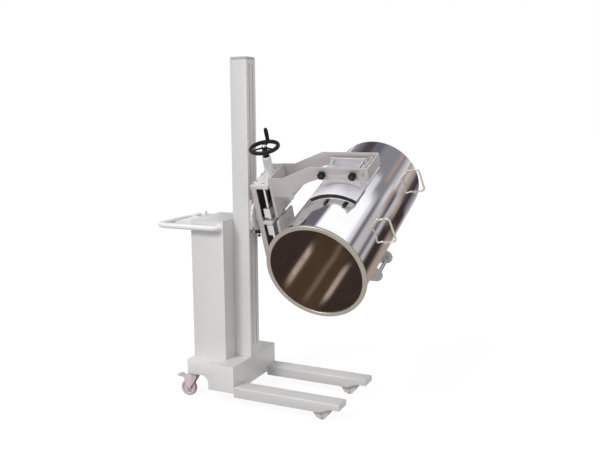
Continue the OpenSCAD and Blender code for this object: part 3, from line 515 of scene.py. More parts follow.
@dataclass(frozen=True)
class MouldedPlastic(Finish):
    """Moulded plastic with a fine skin texture and scuffed edges."""

    scuff: float = 0.4
    texture: float = 0.2
    scale: float = 650.0
    shine: float = 0.5
    dulling: float = 0.15
    paling: float = 0.25

    def make(self, effects: Effects) -> bpy.types.Material:
        """Build the plastic material.

        Args:
            effects: the shared effects.

        Returns:
            The material.
        """
        material, tree, shader = self._start()
        shader.inputs["Specular IOR Level"].default_value = self.shine
        rub = self._place(tree, effects.edge_rub, Width=0.0012, Amount=self.scuff)
        marks = self._place(tree, effects.handling, Scale=14.0, Amount=0.8)
        peel = self._place(tree, effects.peel, Scale=self.scale)
        pale = tuple(part + (1.0 - part) * self.paling for part in self.colour)
        base = self._mix(tree, marks.outputs["Mask"], self.colour, self._shade(self.colour, 0.88))
        tree.link(self._mix(tree, rub.outputs["Mask"], base, pale), shader.inputs["Base Color"])
        tree.link(self._range(tree, marks.outputs["Mask"], self.roughness, self.roughness + self.dulling),
                  shader.inputs["Roughness"])
        self._bump(tree, peel.outputs["Height"], shader, strength=self.texture, distance=0.0003)
        return material


@dataclass(frozen=True)
class SheetRubber(Finish):
    """Sheet rubber: matt, with a bloom of dust and a fine nap."""

    bloom: float = 0.035
    bloom_roughness: float = 0.95

    def make(self, effects: Effects) -> bpy.types.Material:
        """Build the rubber material.

        Args:
            effects: the shared effects.

        Returns:
            The material.
        """
        material, tree, shader = self._start()
        marks = self._place(tree, effects.handling, Scale=20.0, Amount=0.9)
        peel = self._place(tree, effects.peel, Scale=900.0)
        dusty = tuple(part + self.bloom for part in self.colour)
        tree.link(self._mix(tree, marks.outputs["Mask"], self.colour, dusty), shader.inputs["Base Color"])
        tree.link(self._range(tree, marks.outputs["Mask"], self.roughness, self.bloom_roughness),
                  shader.inputs["Roughness"])
        self._bump(tree, peel.outputs["Height"], shader, strength=0.35, distance=0.0004)
        return material


class Finishes:
    """Every finish on the machine, made once."""

    def __init__(self) -> None:
        """Build the shared effects and the materials."""
        effects = Effects()
        kinds: tuple[Finish, ...] = (
            PowderPaint("frame_paint", "paint", (0.735, 0.72, 0.712), 0.38),
            # The legs' paint is the frame paint made darker: painted shade on the legs.
            PowderPaint("leg_paint_painted_shade", "paint", (0.665, 0.64, 0.64), 0.38),
            PowderPaint("head_paint", "paint", (0.56, 0.525, 0.515), 0.4),
            PowderPaint("cabinet_top_paint", "paint_shade", (0.70, 0.695, 0.70), 0.42),
            # Pale paint of the console, push handle and screw column; on the index disc it is painted
            # light against the channel's shade.
            PowderPaint("pale_paint_and_painted_light", "paint", (0.86, 0.855, 0.865), 0.36),
            PowderPaint("bracket_paint", "paint_shade", (0.66, 0.62, 0.56), 0.42),
            WorkedMetal("machined_steel", "steel", (0.66, 0.655, 0.64), 0.3),
            WorkedMetal("bolt_steel", "steel", (0.55, 0.55, 0.56), 0.34, scale=500.0, depth=0.08),
            WorkedMetal("weld_bead", "steel", (0.50, 0.48, 0.46), 0.42, scale=700.0, depth=0.3),
            WorkedMetal("ground_rod", "polished", (0.78, 0.78, 0.78), 0.16, scale=600.0, depth=0.05),
            WorkedMetal("saddle_steel", "polished", (0.78, 0.77, 0.81), 0.64, along=(1.0, 0.05, 1.0),
                        scale=420.0, depth=0.07),
            WorkedMetal("bow_steel", "polished", (0.66, 0.585, 0.52), 0.38, scale=500.0, depth=0.06),
            WorkedMetal("drum_outside", "polished", (0.88, 0.88, 0.89), 0.07, along=(1.0, 0.03, 1.0),
                        scale=300.0, depth=0.03, spread=0.05, tarnish=0.06),
            DrumLining("drum_inside", "polished", (0.80, 0.735, 0.67), 0.1, along=(1.0, 0.03, 1.0),
                       scale=240.0, depth=0.03, spread=0.08, tarnish=0.2),
            WorkedMetal("rim_steel", "polished", (0.42, 0.37, 0.325), 0.4, along=(1.0, 1.0, 1.0),
                        scale=260.0, depth=0.05),
            WorkedMetal("bronze", "bronze", (0.62, 0.42, 0.20), 0.3),
            MouldedPlastic("gloss_black", "black", (0.008, 0.008, 0.009), 0.38, scuff=0.08, texture=0.05,
                           shine=0.2),
            MouldedPlastic("blackened_steel", "black", (0.028, 0.026, 0.026), 0.4, scuff=0.3, texture=0.1,
                           shine=0.3),
            SheetRubber("liner_rubber", "rubber", (0.012, 0.012, 0.012), 0.7),
            MouldedPlastic("caster_plastic", "grey_plastic", (0.68, 0.58, 0.60), 0.36),
            MouldedPlastic("caster_tyre", "grey_plastic", (0.56, 0.44, 0.46), 0.45),
            MouldedPlastic("roller_nylon", "grey_plastic", (0.60, 0.56, 0.50), 0.4),
            MouldedPlastic("button_plastic", "grey_plastic", (0.74, 0.73, 0.71), 0.3),
            MouldedPlastic("dark_plastic", "dark_plastic", (0.09, 0.09, 0.10), 0.45),
            MouldedPlastic("cap_plastic", "dark_plastic", (0.50, 0.50, 0.51), 0.45),
        )
        self.finish = {kind.name: kind for kind in kinds}
        self.material = {kind.name: kind.make(effects) for kind in kinds}


# Making pieces


class Bench:
    """Makes pieces: dressed copies of CAD nodes, and new meshes."""

    def __init__(self, frame: dict, finishes: Finishes) -> None:
        """Keep the frame's bodies and the finishes.

        Args:
            finishes: the materials.
        """
        self.finishes = finishes
        bodies = frame["record"]["behaviour"]["bodies"]
        self.body = {node: name for name, nodes in bodies.items() for node in nodes}

    def publish(self, bm: bmesh.types.BMesh, name: str, finish: str, body: str,
                replaces: Sequence[str] = (), smooth: float = 35.0,
                bevel: float = 0.0) -> bpy.types.Object:
        """Turn a finished bmesh into a piece.

        Args:
            bm: the mesh, already in the row's metres; it is freed.
            name: the piece's name.
            finish: the finish's name.
            body: the body that it rides on.
            replaces: the CAD nodes that it stands for.
            smooth: edges flatter than this many degrees are smooth.
            bevel: the width of a bevel on sharp edges, in millimetres.

        Returns:
            The piece.
        """
        mesh = bpy.data.meshes.new(name)
        bm.to_mesh(mesh)
        bm.free()
        mesh.polygons.foreach_set("use_smooth", [True] * len(mesh.polygons))
        piece = bpy.data.objects.new(name, mesh)
        bpy.context.scene.collection.objects.link(piece)
        mesh.materials.append(self.finishes.material[finish])
        if bevel:
            edge = piece.modifiers.new("edges", "BEVEL")
            edge.width = bevel * MM
            edge.segments = 2
            edge.limit_method = "ANGLE"
            edge.angle_limit = math.radians(smooth)
            edge.harden_normals = True
        else:
            mesh.set_sharp_from_angle(angle=math.radians(smooth))
        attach(piece, body)
        if replaces:
            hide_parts(*replaces)
        LOG.info("%s rides on %s", name, body)
        return piece

    def dressed(self, node: str, finish: str, bevel: float = 1.2) -> bpy.types.Object:
        """Copy a CAD node, soften its edges and finish it.

        Args:
            node: the CAD node.
            finish: the finish's name.
            bevel: the width of its softened edges, in millimetres.

        Returns:
            The piece.
        """
        bm = bmesh.new()
        bm.from_mesh(bpy.data.objects[node].data)
        bmesh.ops.remove_doubles(bm, verts=bm.verts, dist=1e-6)
        bmesh.ops.dissolve_limit(bm, angle_limit=math.radians(0.6), verts=bm.verts, edges=bm.edges,
                                 delimit={"NORMAL"})
        return self.publish(bm, node + "_dressed", finish, self.body[node], [node], bevel=bevel)

    @staticmethod
    def turned(profile: Profile, closed: bool = False, steps: int = 64) -> bmesh.types.BMesh:
        """Spin a profile of radius and height about Z.

        Args:
            profile: the points, from one end to the other.
            closed: whether the last point joins the first.
            steps: how many faces go round.

        Returns:
            The bmesh, in millimetres.
        """
        bm = bmesh.new()
        verts = [bm.verts.new((radius, 0.0, height)) for radius, height in profile]
        edges = [bm.edges.new(pair) for pair in zip(verts, verts[1:])]
        if closed:
            edges.append(bm.edges.new((verts[-1], verts[0])))
        bmesh.ops.spin(bm, geom=verts + edges, cent=(0, 0, 0), axis=(0, 0, 1), dvec=(0, 0, 0),
                       angle=math.tau, steps=steps, use_merge=True, use_duplicate=False)
        bmesh.ops.remove_doubles(bm, verts=bm.verts, dist=1e-4)
        bmesh.ops.recalc_face_normals(bm, faces=bm.faces)
        return bm

    @staticmethod
    def placed(bm: bmesh.types.BMesh, frame: Matrix, at: Point = (0, 0, 0),
               axis: Axis = Axis.Z, flip: bool = False) -> bmesh.types.BMesh:
        """Move a bmesh from its own millimetres to the row's metres.

        Args:
            bm: the mesh, built about Z.
            frame: the base's or the head's matrix.
            at: where its origin goes, in that frame.
            axis: where its Z points.
            flip: whether it points the other way.

        Returns:
            The same bmesh.
        """
        turn = axis.turn()
        if flip:
            turn = turn @ Matrix.Rotation(math.pi, 4, "X")
        bmesh.ops.transform(bm, matrix=frame @ Matrix.Translation(at) @ turn, verts=bm.verts)
        return bm

    @staticmethod
    def joined(parts: Iterable[bmesh.types.BMesh]) -> bmesh.types.BMesh:
        """Gather several bmeshes into one.

        Args:
            parts: the meshes; all are freed.

        Returns:
            The gathered mesh.
        """
        whole = bmesh.new()
        for part in parts:
            mesh = bpy.data.meshes.new("part")
            part.to_mesh(mesh)
            part.free()
            whole.from_mesh(mesh)
            bpy.data.meshes.remove(mesh)
        return whole

    @staticmethod
    def screw(radius: float, height: float, drive: Drive = Drive.HEX) -> bmesh.types.BMesh:
        """Make one screw head on its washer, standing on Z = 0.

        Args:
            radius: the head's radius.
            height: the head's height.
            drive: the kind of head.

        Returns:
            The bmesh, in millimetres.
        """
        bm = bmesh.new()
        washer = height * 0.22
        bmesh.ops.create_cone(bm, cap_ends=True, segments=28, radius1=radius * 1.3,
                              radius2=radius * 1.27, depth=washer,
                              matrix=Matrix.Translation((0, 0, washer / 2)))
        sides = 6 if drive is Drive.HEX else 28
        top = 0.8 if drive is Drive.BUTTON else 0.97
        head = bmesh.ops.create_cone(bm, cap_ends=True, segments=sides, radius1=radius,
                                     radius2=radius * top, depth=height - washer,
                                     matrix=Matrix.Translation((0, 0, (height + washer) / 2)))
        edges = {edge for vert in head["verts"] for edge in vert.link_edges if vert.co.z > height * 0.9}
        rim = [edge for edge in edges if all(end.co.z > height * 0.9 for end in edge.verts)]
        bmesh.ops.bevel(bm, geom=rim, offset=radius * 0.1, segments=2, affect="EDGES",
                        profile=0.5, material=-1, offset_type="OFFSET")
        if drive is not Drive.HEX:
            bmesh.ops.create_cone(bm, cap_ends=True, segments=6, radius1=radius * 0.45,
                                  radius2=radius * 0.45, depth=height * 0.06,
                                  matrix=Matrix.Translation((0, 0, height)))
        return bm

    def screws(self, name: str, places: Iterable[tuple[Point, Axis, bool]], frame: Matrix, body: str,
               size: tuple[float, float], drive: Drive = Drive.HEX) -> bpy.types.Object:
        """Fit a set of screw heads as one piece.

        Args:
            name: the piece's name.
            places: each head's foot, its direction and whether it is reversed.
            frame: the base's or the head's matrix.
            body: the body that they ride on.
            size: the head's radius and height.
            drive: the kind of head.

        Returns:
            The piece.
        """
        heads = [self.placed(self.screw(*size, drive), frame, at, axis, flip) for at, axis, flip in places]
        return self.publish(self.joined(heads), name, "bolt_steel", body)

    @staticmethod
    def bead(start: Point, end: Point, radius: float = 2.4, pitch: float = 3.2) -> bmesh.types.BMesh:
        """Lay a rippled weld bead between two points.

        Args:
            start: the first point, in millimetres.
            end: the last point.
            radius: the bead's radius.
            pitch: the distance between ripples.

        Returns:
            The bmesh, in millimetres.
        """
        run = Vector(end) - Vector(start)
        steps = max(4, int(run.length / pitch) * 2)
        bm = bmesh.new()
        turn = run.to_track_quat("Z", "Y").to_matrix().to_4x4()
        bmesh.ops.create_circle(bm, segments=8, radius=radius * 0.7, cap_ends=False,
                                matrix=Matrix.Translation(start) @ turn)
        ring = list(bm.edges)
        centre = Vector(start)
        for step in range(steps):
            result = bmesh.ops.extrude_edge_only(bm, edges=ring)
            verts = [item for item in result["geom"] if isinstance(item, bmesh.types.BMVert)]
            ring = [item for item in result["geom"] if isinstance(item, bmesh.types.BMEdge)
                    and all(vert in verts for vert in item.verts)]
            bmesh.ops.translate(bm, verts=verts, vec=run / steps)
            centre = centre + run / steps
            grow = 1.22 if step % 2 == 0 else 1 / 1.22
            bmesh.ops.scale(bm, vec=(grow, grow, grow), verts=verts, space=Matrix.Translation(-centre))
        bmesh.ops.holes_fill(bm, edges=[edge for edge in bm.edges if edge.is_boundary], sides=8)
        bmesh.ops.recalc_face_normals(bm, faces=bm.faces)
        return bm

    def beads(self, name: str, runs: Iterable[tuple[Point, Point]], frame: Matrix, body: str,
              radius: float = 2.4, finish: str = "frame_paint") -> bpy.types.Object:
        """Lay several painted weld beads as one piece.

        Args:
            name: the piece's name.
            runs: each bead's two ends.
            frame: the base's or the head's matrix.
            body: the body that they ride on.
            radius: the beads' radius.
            finish: the finish's name.

        Returns:
            The piece.
        """
        parts = [self.placed(self.bead(start, end, radius), frame) for start, end in runs]
        return self.publish(self.joined(parts), name, finish, body, smooth=60.0)

    @staticmethod
    def thread(radius: float, root: float, pitch: float, turns: int) -> bmesh.types.BMesh:
        """Cut a screw thread by spinning its flank along the axis.

        Args:
            radius: the crest's radius.
            root: the root's radius.
            pitch: the distance between crests.
            turns: how many turns it has.

        Returns:
            The bmesh, from Z = 0 up, in millimetres.
        """
        bm = bmesh.new()
        shape = ((root, 0.0), (radius, pitch * 0.3), (radius, pitch * 0.5), (root, pitch * 0.8),
                 (root, pitch))
        verts = [bm.verts.new((across, 0.0, along)) for across, along in shape]
        edges = [bm.edges.new(pair) for pair in zip(verts, verts[1:])]
        steps = 24
        bmesh.ops.spin(bm, geom=verts + edges, cent=(0, 0, 0), axis=(0, 0, 1),
                       dvec=(0, 0, pitch / steps), angle=math.tau * turns, steps=steps * turns,
                       use_merge=False, use_duplicate=False)
        bmesh.ops.remove_doubles(bm, verts=bm.verts, dist=1e-3)
        bmesh.ops.recalc_face_normals(bm, faces=bm.faces)
        return bm


# The machine's sub-assemblies


@dataclass
class Base:
    """The welded base, its fork legs, front rollers and rear casters."""

    leg_y: float = 212.0
    leg_half: float = 54.5
    leg_top: float = 115.0
    block_z: float = 75.0
    roller_x: float = 545.0
    roller_z: float = 27.0
    roller_half: float = 23.0
    caster_x: float = -296.0
    caster_y: float = 219.0
    trail: float = 42.0
    wheel_z: float = 50.0
    pad_z: float = 149.0
    frame: Matrix = field(default_factory=PLACING.base)

    def build(self, bench: Bench) -> None:
        """Build the base's pieces.

        Args:
            bench: what makes and publishes pieces.
        """
        bench.dressed("chassis", "frame_paint", 2.2)
        # The legs take a darker copy of the frame paint: painted shade.
        bench.dressed("right_leg", "leg_paint_painted_shade", 1.4)
        bench.dressed("left_leg", "leg_paint_painted_shade", 1.4)
        bench.dressed("roller_brackets", "bracket_paint", 1.0)
        self._welds(bench)
        for side, sign in (("right", -1), ("left", 1)):
            self._roller(bench, side, sign)
            self._caster(bench, side, sign)

    def _welds(self, bench: Bench) -> None:
        """Lay the weld beads where the legs meet the base.

        Args:
            bench: what makes and publishes pieces.
        """
        runs: list[tuple[Point, Point]] = []
        for sign in (-1, 1):
            inner = sign * (self.leg_y - self.leg_half)
            outer = sign * (self.leg_y + self.leg_half - 3)
            runs.append(((0.6, inner, self.leg_top + 0.4), (0.6, outer, self.leg_top + 0.4)))
            runs.append(((0.6, inner - sign * 0.6, self.block_z), (0.6, inner - sign * 0.6, self.leg_top)))
        bench.beads("leg_welds", runs, self.frame, "base", 2.2)

    def _roller(self, bench: Bench, side: str, sign: int) -> None:
        """Turn one front roller and fit its axle nuts.

        Args:
            bench: what makes and publishes pieces.
            side: the side's name.
            sign: which way it lies along Y.
        """
        half, radius = self.roller_half, self.roller_z
        profile = [(8.1, -half), (13, -half), (13.6, -half + 1.2), (19, -half + 1.2), (19.6, -half),
                   (radius - 2.5, -half), (radius - 0.6, -half + 0.8), (radius, -half + 3),
                   (radius, half - 3), (radius - 0.6, half - 0.8), (radius - 2.5, half), (19.6, half),
                   (19, half - 1.2), (13.6, half - 1.2), (13, half), (8.1, half)]
        centre = (self.roller_x, sign * self.leg_y, self.roller_z)
        bm = bench.placed(bench.turned(profile, closed=True), self.frame, centre, Axis.Y)
        bench.publish(bm, side + "_roller_turned", "roller_nylon", side + "_front_roller",
                      [side + "_roller"])
        ends = [((self.roller_x, sign * self.leg_y + end * (half + 14), self.roller_z), Axis.Y, end < 0)
                for end in (-1, 1)]
        bench.screws(side + "_roller_nuts", ends, self.frame, "base", (9.0, 5.0))

    def _caster(self, bench: Bench, side: str, sign: int) -> None:
        """Dress one caster's fork and pedal, and turn its wheel.

        Args:
            bench: what makes and publishes pieces.
            side: the side's name.
            sign: which way it lies along Y.
        """
        bench.dressed(side + "_caster_fork", "caster_plastic", 1.6)
        bench.dressed(side + "_brake_pedal", "caster_plastic", 1.2)
        centre = (self.caster_x - self.trail, sign * self.caster_y, self.wheel_z)
        tyre = [(38, -14), (44, -15.2), (48, -13), (49.6, -9), (50, 0), (49.6, 9), (48, 13), (44, 15.2),
                (38, 14)]
        hub = [(6.1, -15.6), (14, -15.6), (15, -14.4), (16, -9), (30, -7), (34, -9), (36, -13.6),
               (38, -14), (38, 14), (36, 13.6), (34, 9), (30, 7), (16, 9), (15, 14.4), (14, 15.6),
               (6.1, 15.6)]
        body = side + "_wheel"
        bench.publish(bench.placed(bench.turned(tyre, closed=True), self.frame, centre, Axis.Y),
                      side + "_caster_tyre", "caster_tyre", body, [side + "_caster_wheel"])
        parts = [bench.placed(bench.turned(hub, closed=True), self.frame, centre, Axis.Y)]
        for index in range(6):
            rib = bmesh.new()
            bmesh.ops.create_cube(rib, size=1.0)
            bmesh.ops.scale(rib, vec=(17, 2.4, 25), verts=rib.verts)
            bmesh.ops.translate(rib, vec=(24, 0, 0), verts=rib.verts)
            bmesh.ops.rotate(rib, cent=(0, 0, 0), verts=rib.verts,
                             matrix=Matrix.Rotation(math.tau * index / 6, 3, "Z"))
            parts.append(bench.placed(rib, self.frame, centre, Axis.Y))
        bench.publish(bench.joined(parts), side + "_caster_hub", "caster_plastic", body)
        ends = [((centre[0], centre[1] + end * 24, centre[2]), Axis.Y, end < 0) for end in (-1, 1)]
        bench.screws(side + "_caster_bolt", ends, self.frame, side + "_swivel", (8.0, 4.5))
        corners = [((self.caster_x + x, sign * self.caster_y + y, self.pad_z), Axis.Z, True)
                   for x, y in ((26, 0), (0, 29), (0, -29))]
        bench.screws(side + "_pad_screws", corners, self.frame, "base", (2.2, 2.5), Drive.BUTTON)


@dataclass
class Cabinet:
    """The drive cabinet with its lid, door, console and push handle."""

    rear: float = -326.0
    deck: float = 1074.0
    door_rear: float = -328.8
    frame: Matrix = field(default_factory=PLACING.base)

    def build(self, bench: Bench) -> None:
        """Build the cabinet's pieces.

        Args:
            bench: what makes and publishes pieces.
        """
        bench.dressed("cabinet_shell", "frame_paint", 1.6)
        bench.dressed("cabinet_lid", "cabinet_top_paint", 1.6)
        bench.dressed("cabinet_door", "frame_paint", 0.8)
        bench.dressed("control_console", "pale_paint_and_painted_light", 2.0)
        bench.dressed("push_handle", "pale_paint_and_painted_light", 1.0)
        bench.dressed("battery_pack", "dark_plastic", 2.5)
        bench.dressed("lift_controller", "dark_plastic", 2.0)
        bench.dressed("lift_gearmotor", "machined_steel", 2.0)
        self._louvres(bench)
        self._button(bench)
        self._lever(bench)

    def _louvres(self, bench: Bench) -> None:
        """Press a row of cooling louvres into the rear door.

        Args:
            bench: what makes and publishes pieces.
        """
        slats: list[bmesh.types.BMesh] = []
        for index in range(8):
            bm = bmesh.new()
            bmesh.ops.create_uvsphere(bm, u_segments=24, v_segments=12, radius=1.0)
            bmesh.ops.bisect_plane(bm, geom=list(bm.verts) + list(bm.edges) + list(bm.faces),
                                   plane_co=(0, 0, 0), plane_no=(0, 0, -1), clear_outer=True)
            bmesh.ops.scale(bm, vec=(2.6, 62, 6), verts=bm.verts)
            bmesh.ops.translate(bm, vec=(self.door_rear, 0, 360 + 15 * index), verts=bm.verts)
            slats.append(bench.placed(bm, self.frame))
        bench.publish(bench.joined(slats), "door_louvres", "frame_paint", "door")

    def _button(self, bench: Bench) -> None:
        """Turn the mushroom button on its stem.

        Args:
            bench: what makes and publishes pieces.
        """
        at = (self.rear - 28, -43, self.deck)
        cap = [(0, -16), (10, -16), (10, 11.5), (20, 12), (21.6, 13), (22, 15), (21.4, 18), (19, 21),
               (14, 23.2), (7, 24), (0, 24)]
        bm = bench.placed(bench.turned(cap), self.frame, at)
        bench.publish(bm, "stop_button_turned", "button_plastic", "button", ["stop_button"])

    def _lever(self, bench: Bench) -> None:
        """Turn the lift lever's grip over its shaft.

        Args:
            bench: what makes and publishes pieces.
        """
        at = (self.rear - 28, 45, self.deck - 10)
        grip = [(0, -3), (5, -3), (5, 21), (7.4, 22.4), (8.8, 24.2), (9, 27), (8.7, 30.4), (7.4, 33),
                (4.6, 34), (0, 34)]
        parts = [bench.placed(bench.turned(grip, steps=40), self.frame, at)]
        hub = [(3.1, -11), (7.2, -11), (8, -10), (8, 10), (7.2, 11), (3.1, 11)]
        parts.append(bench.placed(bench.turned(hub, closed=True, steps=40), self.frame, at, Axis.Y))
        bench.publish(bench.joined(parts), "lift_lever_turned", "button_plastic", "lever", ["lift_lever"])


@dataclass
class Mast:
    """The mast, its lifting screw and the carriage that runs in it."""

    centre_x: float = -51.5
    thread_low: float = 296.0
    frame: Matrix = field(default_factory=PLACING.base)

    def build(self, bench: Bench) -> None:
        """Build the mast's and the carriage's pieces.

        Args:
            bench: what makes and publishes pieces.
        """
        bench.dressed("mast", "frame_paint", 1.8)
        bench.dressed("mast_cap", "cap_plastic", 1.2)
        bench.dressed("screw_bearings", "machined_steel", 1.0)
        bench.dressed("carriage_frame", "head_paint", 1.0)
        bench.dressed("carriage_plate", "head_paint", 1.4)
        bench.dressed("guide_shoes", "dark_plastic", 0.8)
        bench.dressed("lift_nut", "bronze", 0.8)
        bench.dressed("pivot_bearing", "machined_steel", 0.8)
        bench.dressed("index_bracket", "blackened_steel", 1.0)
        bench.dressed("index_pin", "blackened_steel", 1.0)
        self._lift_screw(bench)

    def _lift_screw(self, bench: Bench) -> None:
        """Cut the lifting screw's thread over its working length.

        Args:
            bench: what makes and publishes pieces.
        """
        rod = [(0, 158.5), (9, 158.5), (10, 160), (10, 262), (18, 262.8), (18, 274.5), (10, 274.5),
               (10, 290), (8.8, 291), (8.8, 1940), (10, 1941), (10, 1983), (0, 1983)]
        at = (self.centre_x, 0, 0)
        parts = [bench.placed(bench.turned(rod, steps=32), self.frame, at)]
        thread = bench.thread(radius=10.0, root=8.7, pitch=10.0, turns=164)
        parts.append(bench.placed(thread, self.frame, (self.centre_x, 0, self.thread_low)))
        bench.publish(bench.joined(parts), "lift_screw_cut", "ground_rod", "lift_spindle", ["lift_screw"])


@dataclass
class ClampHead:
    """The turning head with its channel, guide rods, screw and handwheel."""

    half: float = 97.0
    end: float = 243.0
    rod_x: float = 155.0
    rod_y: float = 68.0
    screw_x: float = 172.0
    thread_low: float = 12.0
    column_top: float = 380.0
    wheel_z: float = 436.0
    wheel_r: float = 77.5
    rim_r: float = 11.5
    grip_angle: float = 100.0
    web_front: float = 94.0
    frame: Matrix = field(default_factory=PLACING.head)

    def build(self, bench: Bench) -> None:
        """Build the head's pieces.

        Args:
            bench: what makes and publishes pieces.
        """
        bench.dressed("pivot_shaft", "machined_steel", 1.0)
        # The index disc takes the pale paint, lighter than the head paint: painted light against the
        # channel's shade.
        bench.dressed("index_disc", "pale_paint_and_painted_light", 1.2)
        channel = bench.dressed("head_channel", "head_paint", 1.4)
        self._darken_channel_recess(bench, channel)
        bench.dressed("head_cross_plates", "frame_paint", 1.6)
        self._rods(bench)
        self._column(bench)
        self._clamp_screw(bench)
        self._handwheel(bench)
        self._grip(bench)
        self._fixings(bench)

    def _darken_channel_recess(self, bench: Bench, channel: bpy.types.Object) -> None:
        """Give the faces inside the channel, behind the clamp screw, the blackened finish, which darkens
        the channel's recess.

        Args:
            bench: what makes and publishes pieces.
            channel: the dressed channel.
        """
        # The web's front and the flanges' inner faces take the blackened finish, so the channel's recess
        # is made dark.
        channel.data.materials.append(bench.finishes.material["blackened_steel"])
        back = self.frame.inverted()
        for face in channel.data.polygons:
            centre = back @ face.center
            facing = back.to_3x3() @ face.normal
            web = facing.x > 0 and centre.x < self.web_front + 1
            flange = facing.y * centre.y < -1e-6 and centre.x > self.web_front
            if (web or flange) and abs(centre.y) < self.half - 7:
                face.material_index = 1

    def _rods(self, bench: Bench) -> None:
        """Turn the two ground guide rods.

        Args:
            bench: what makes and publishes pieces.
        """
        end = self.end
        rod = [(0, -end), (8, -end), (9, -end + 1), (9, end - 1), (8, end), (0, end)]
        parts = [bench.placed(bench.turned(rod, steps=48), self.frame, (self.rod_x, side * self.rod_y, 0))
                 for side in (-1, 1)]
        bench.publish(bench.joined(parts), "guide_rods_turned", "ground_rod", "head", ["guide_rods"])

    def _column(self, bench: Bench) -> None:
        """Turn the column that carries the clamp screw's upper bearing.

        Args:
            bench: what makes and publishes pieces.
        """
        low, top = self.end, self.column_top
        column = [(17, low), (26, low), (26, low + 10), (25, low + 12), (24.6, top - 24), (25.6, top - 22),
                  (25.6, top - 4), (23.4, top), (10.1, top), (10.1, top - 20), (17, top - 20)]
        bm = bench.placed(bench.turned(column, closed=True), self.frame, (self.screw_x, 0, 0))
        bench.publish(bm, "screw_column_turned", "pale_paint_and_painted_light", "head", ["screw_column"])

    def _clamp_screw(self, bench: Bench) -> None:
        """Cut the clamp screw with its two threads and its end nut.

        Args:
            bench: what makes and publishes pieces.
        """
        top, wheel = self.column_top, self.wheel_z
        low = -self.end + 4
        rod = [(0, low), (8.6, low), (10, low + 1.4), (10, -222), (8.7, -220), (8.7, 220), (10, 222),
               (10, top - 34), (16, top - 34), (16, top - 20.4), (10, top - 20.4), (10, wheel + 7),
               (14.5, wheel + 7.2), (14.5, wheel + 9), (12.5, wheel + 9.4), (12.5, wheel + 14),
               (11, wheel + 15.6), (6, wheel + 16), (0, wheel + 16)]
        at = (self.screw_x, 0, 0)
        parts = [bench.placed(bench.turned(rod, steps=40), self.frame, at)]
        right = bench.thread(radius=9.95, root=8.6, pitch=6.0, turns=34)
        left = bench.thread(radius=9.95, root=8.6, pitch=6.0, turns=34)
        bmesh.ops.scale(left, vec=(1, 1, -1), verts=left.verts)
        bmesh.ops.recalc_face_normals(left, faces=left.faces)
        parts.append(bench.placed(right, self.frame, (self.screw_x, 0, self.thread_low)))
        parts.append(bench.placed(left, self.frame, (self.screw_x, 0, -self.thread_low)))
        bench.publish(bench.joined(parts), "clamp_screw_cut", "ground_rod", "clamp_spindle",
                      ["clamp_screw"])

    def _handwheel(self, bench: Bench) -> None:
        """Turn the handwheel's hub and rim and cast its tapered spokes.

        Args:
            bench: what makes and publishes pieces.
        """
        wheel, top = self.wheel_z, self.column_top
        at = (self.screw_x, 0, 0)
        hub = [(10.1, top + 0.4), (18, top + 0.4), (19, top + 1.6), (18.6, top + 6), (16.5, top + 24),
               (16, top + 28), (16, wheel + 4.5), (14.8, wheel + 6.6), (10.1, wheel + 6.8)]
        rim = [(self.wheel_r + self.rim_r * math.cos(math.tau * step / 28),
                wheel + self.rim_r * math.sin(math.tau * step / 28)) for step in range(28)]
        parts = [bench.placed(bench.turned(hub, closed=True), self.frame, at),
                 bench.placed(bench.turned(rim, closed=True, steps=96), self.frame, at)]
        for index in range(3):
            spoke = bmesh.new()
            made = bmesh.ops.create_cone(spoke, cap_ends=True, segments=20, radius1=7.2, radius2=5.8,
                                         depth=self.wheel_r - 13)
            bmesh.ops.scale(spoke, vec=(0.72, 1, 1), verts=made["verts"])
            bmesh.ops.transform(spoke, matrix=Matrix.Translation(((self.wheel_r + 13) / 2, 0, wheel))
                                @ Axis.X.turn(), verts=spoke.verts)
            angle = math.radians(self.grip_angle + 120 * index)
            bmesh.ops.rotate(spoke, cent=(0, 0, 0), matrix=Matrix.Rotation(angle, 3, "Z"),
                             verts=spoke.verts)
            parts.append(bench.placed(spoke, self.frame, at))
        pin = [(0, wheel), (5, wheel), (5, wheel + 78.8), (8, wheel + 78.9), (7.6, wheel + 82.2),
               (4, wheel + 82.5), (0, wheel + 82.5)]
        parts.append(bench.placed(bench.turned(pin, steps=32), self.frame, self._grip_at()))
        bench.publish(bench.joined(parts), "handwheel_cast", "gloss_black", "clamp_spindle", ["handwheel"])

    def _grip_at(self) -> Point:
        """Return the foot of the crank grip in the head frame."""
        angle = math.radians(self.grip_angle)
        return (self.screw_x + self.wheel_r * math.cos(angle), self.wheel_r * math.sin(angle), 0)

    def _grip(self, bench: Bench) -> None:
        """Turn the crank grip.

        Args:
            bench: what makes and publishes pieces.
        """
        low = self.wheel_z + self.rim_r + 1.2
        grip = [(5.15, low), (9.6, low), (11, low + 1.6), (11.2, low + 6), (11.8, low + 20),
                (12, low + 40), (11.8, low + 56), (10.8, low + 62), (8.8, low + 65.2), (5.15, low + 65.6)]
        bm = bench.placed(bench.turned(grip, closed=True, steps=48), self.frame, self._grip_at())
        bench.publish(bm, "crank_grip_turned", "gloss_black", "grip", ["crank_grip"])

    def _fixings(self, bench: Bench) -> None:
        """Fit the screws of the end plates, the clamp screw's foot and the channel's sides.

        Args:
            bench: what makes and publishes pieces.
        """
        ends: list[tuple[Point, Axis, bool]] = []
        for sign in (-1, 1):
            for y in (-78, -40, 40, 78):
                ends.append(((98, y, sign * self.end), Axis.Z, sign < 0))
        bench.screws("end_plate_screws", ends, self.frame, "head", (6.0, 5.5), Drive.SOCKET)
        foot = [((self.screw_x + 24 * math.cos(turn), 24 * math.sin(turn), -self.end), Axis.Z, True)
                for turn in (0.8, 2.4, 3.9, 5.5)]
        bench.screws("screw_foot_screws", foot, self.frame, "head", (4.0, 4.0), Drive.SOCKET)
        side = [((102, sign * self.half, z), Axis.Y, sign < 0) for sign in (-1, 1)
                for z in (-196, -110, 110, 196)]
        bench.screws("channel_side_screws", side, self.frame, "head", (4.5, 3.2), Drive.BUTTON)


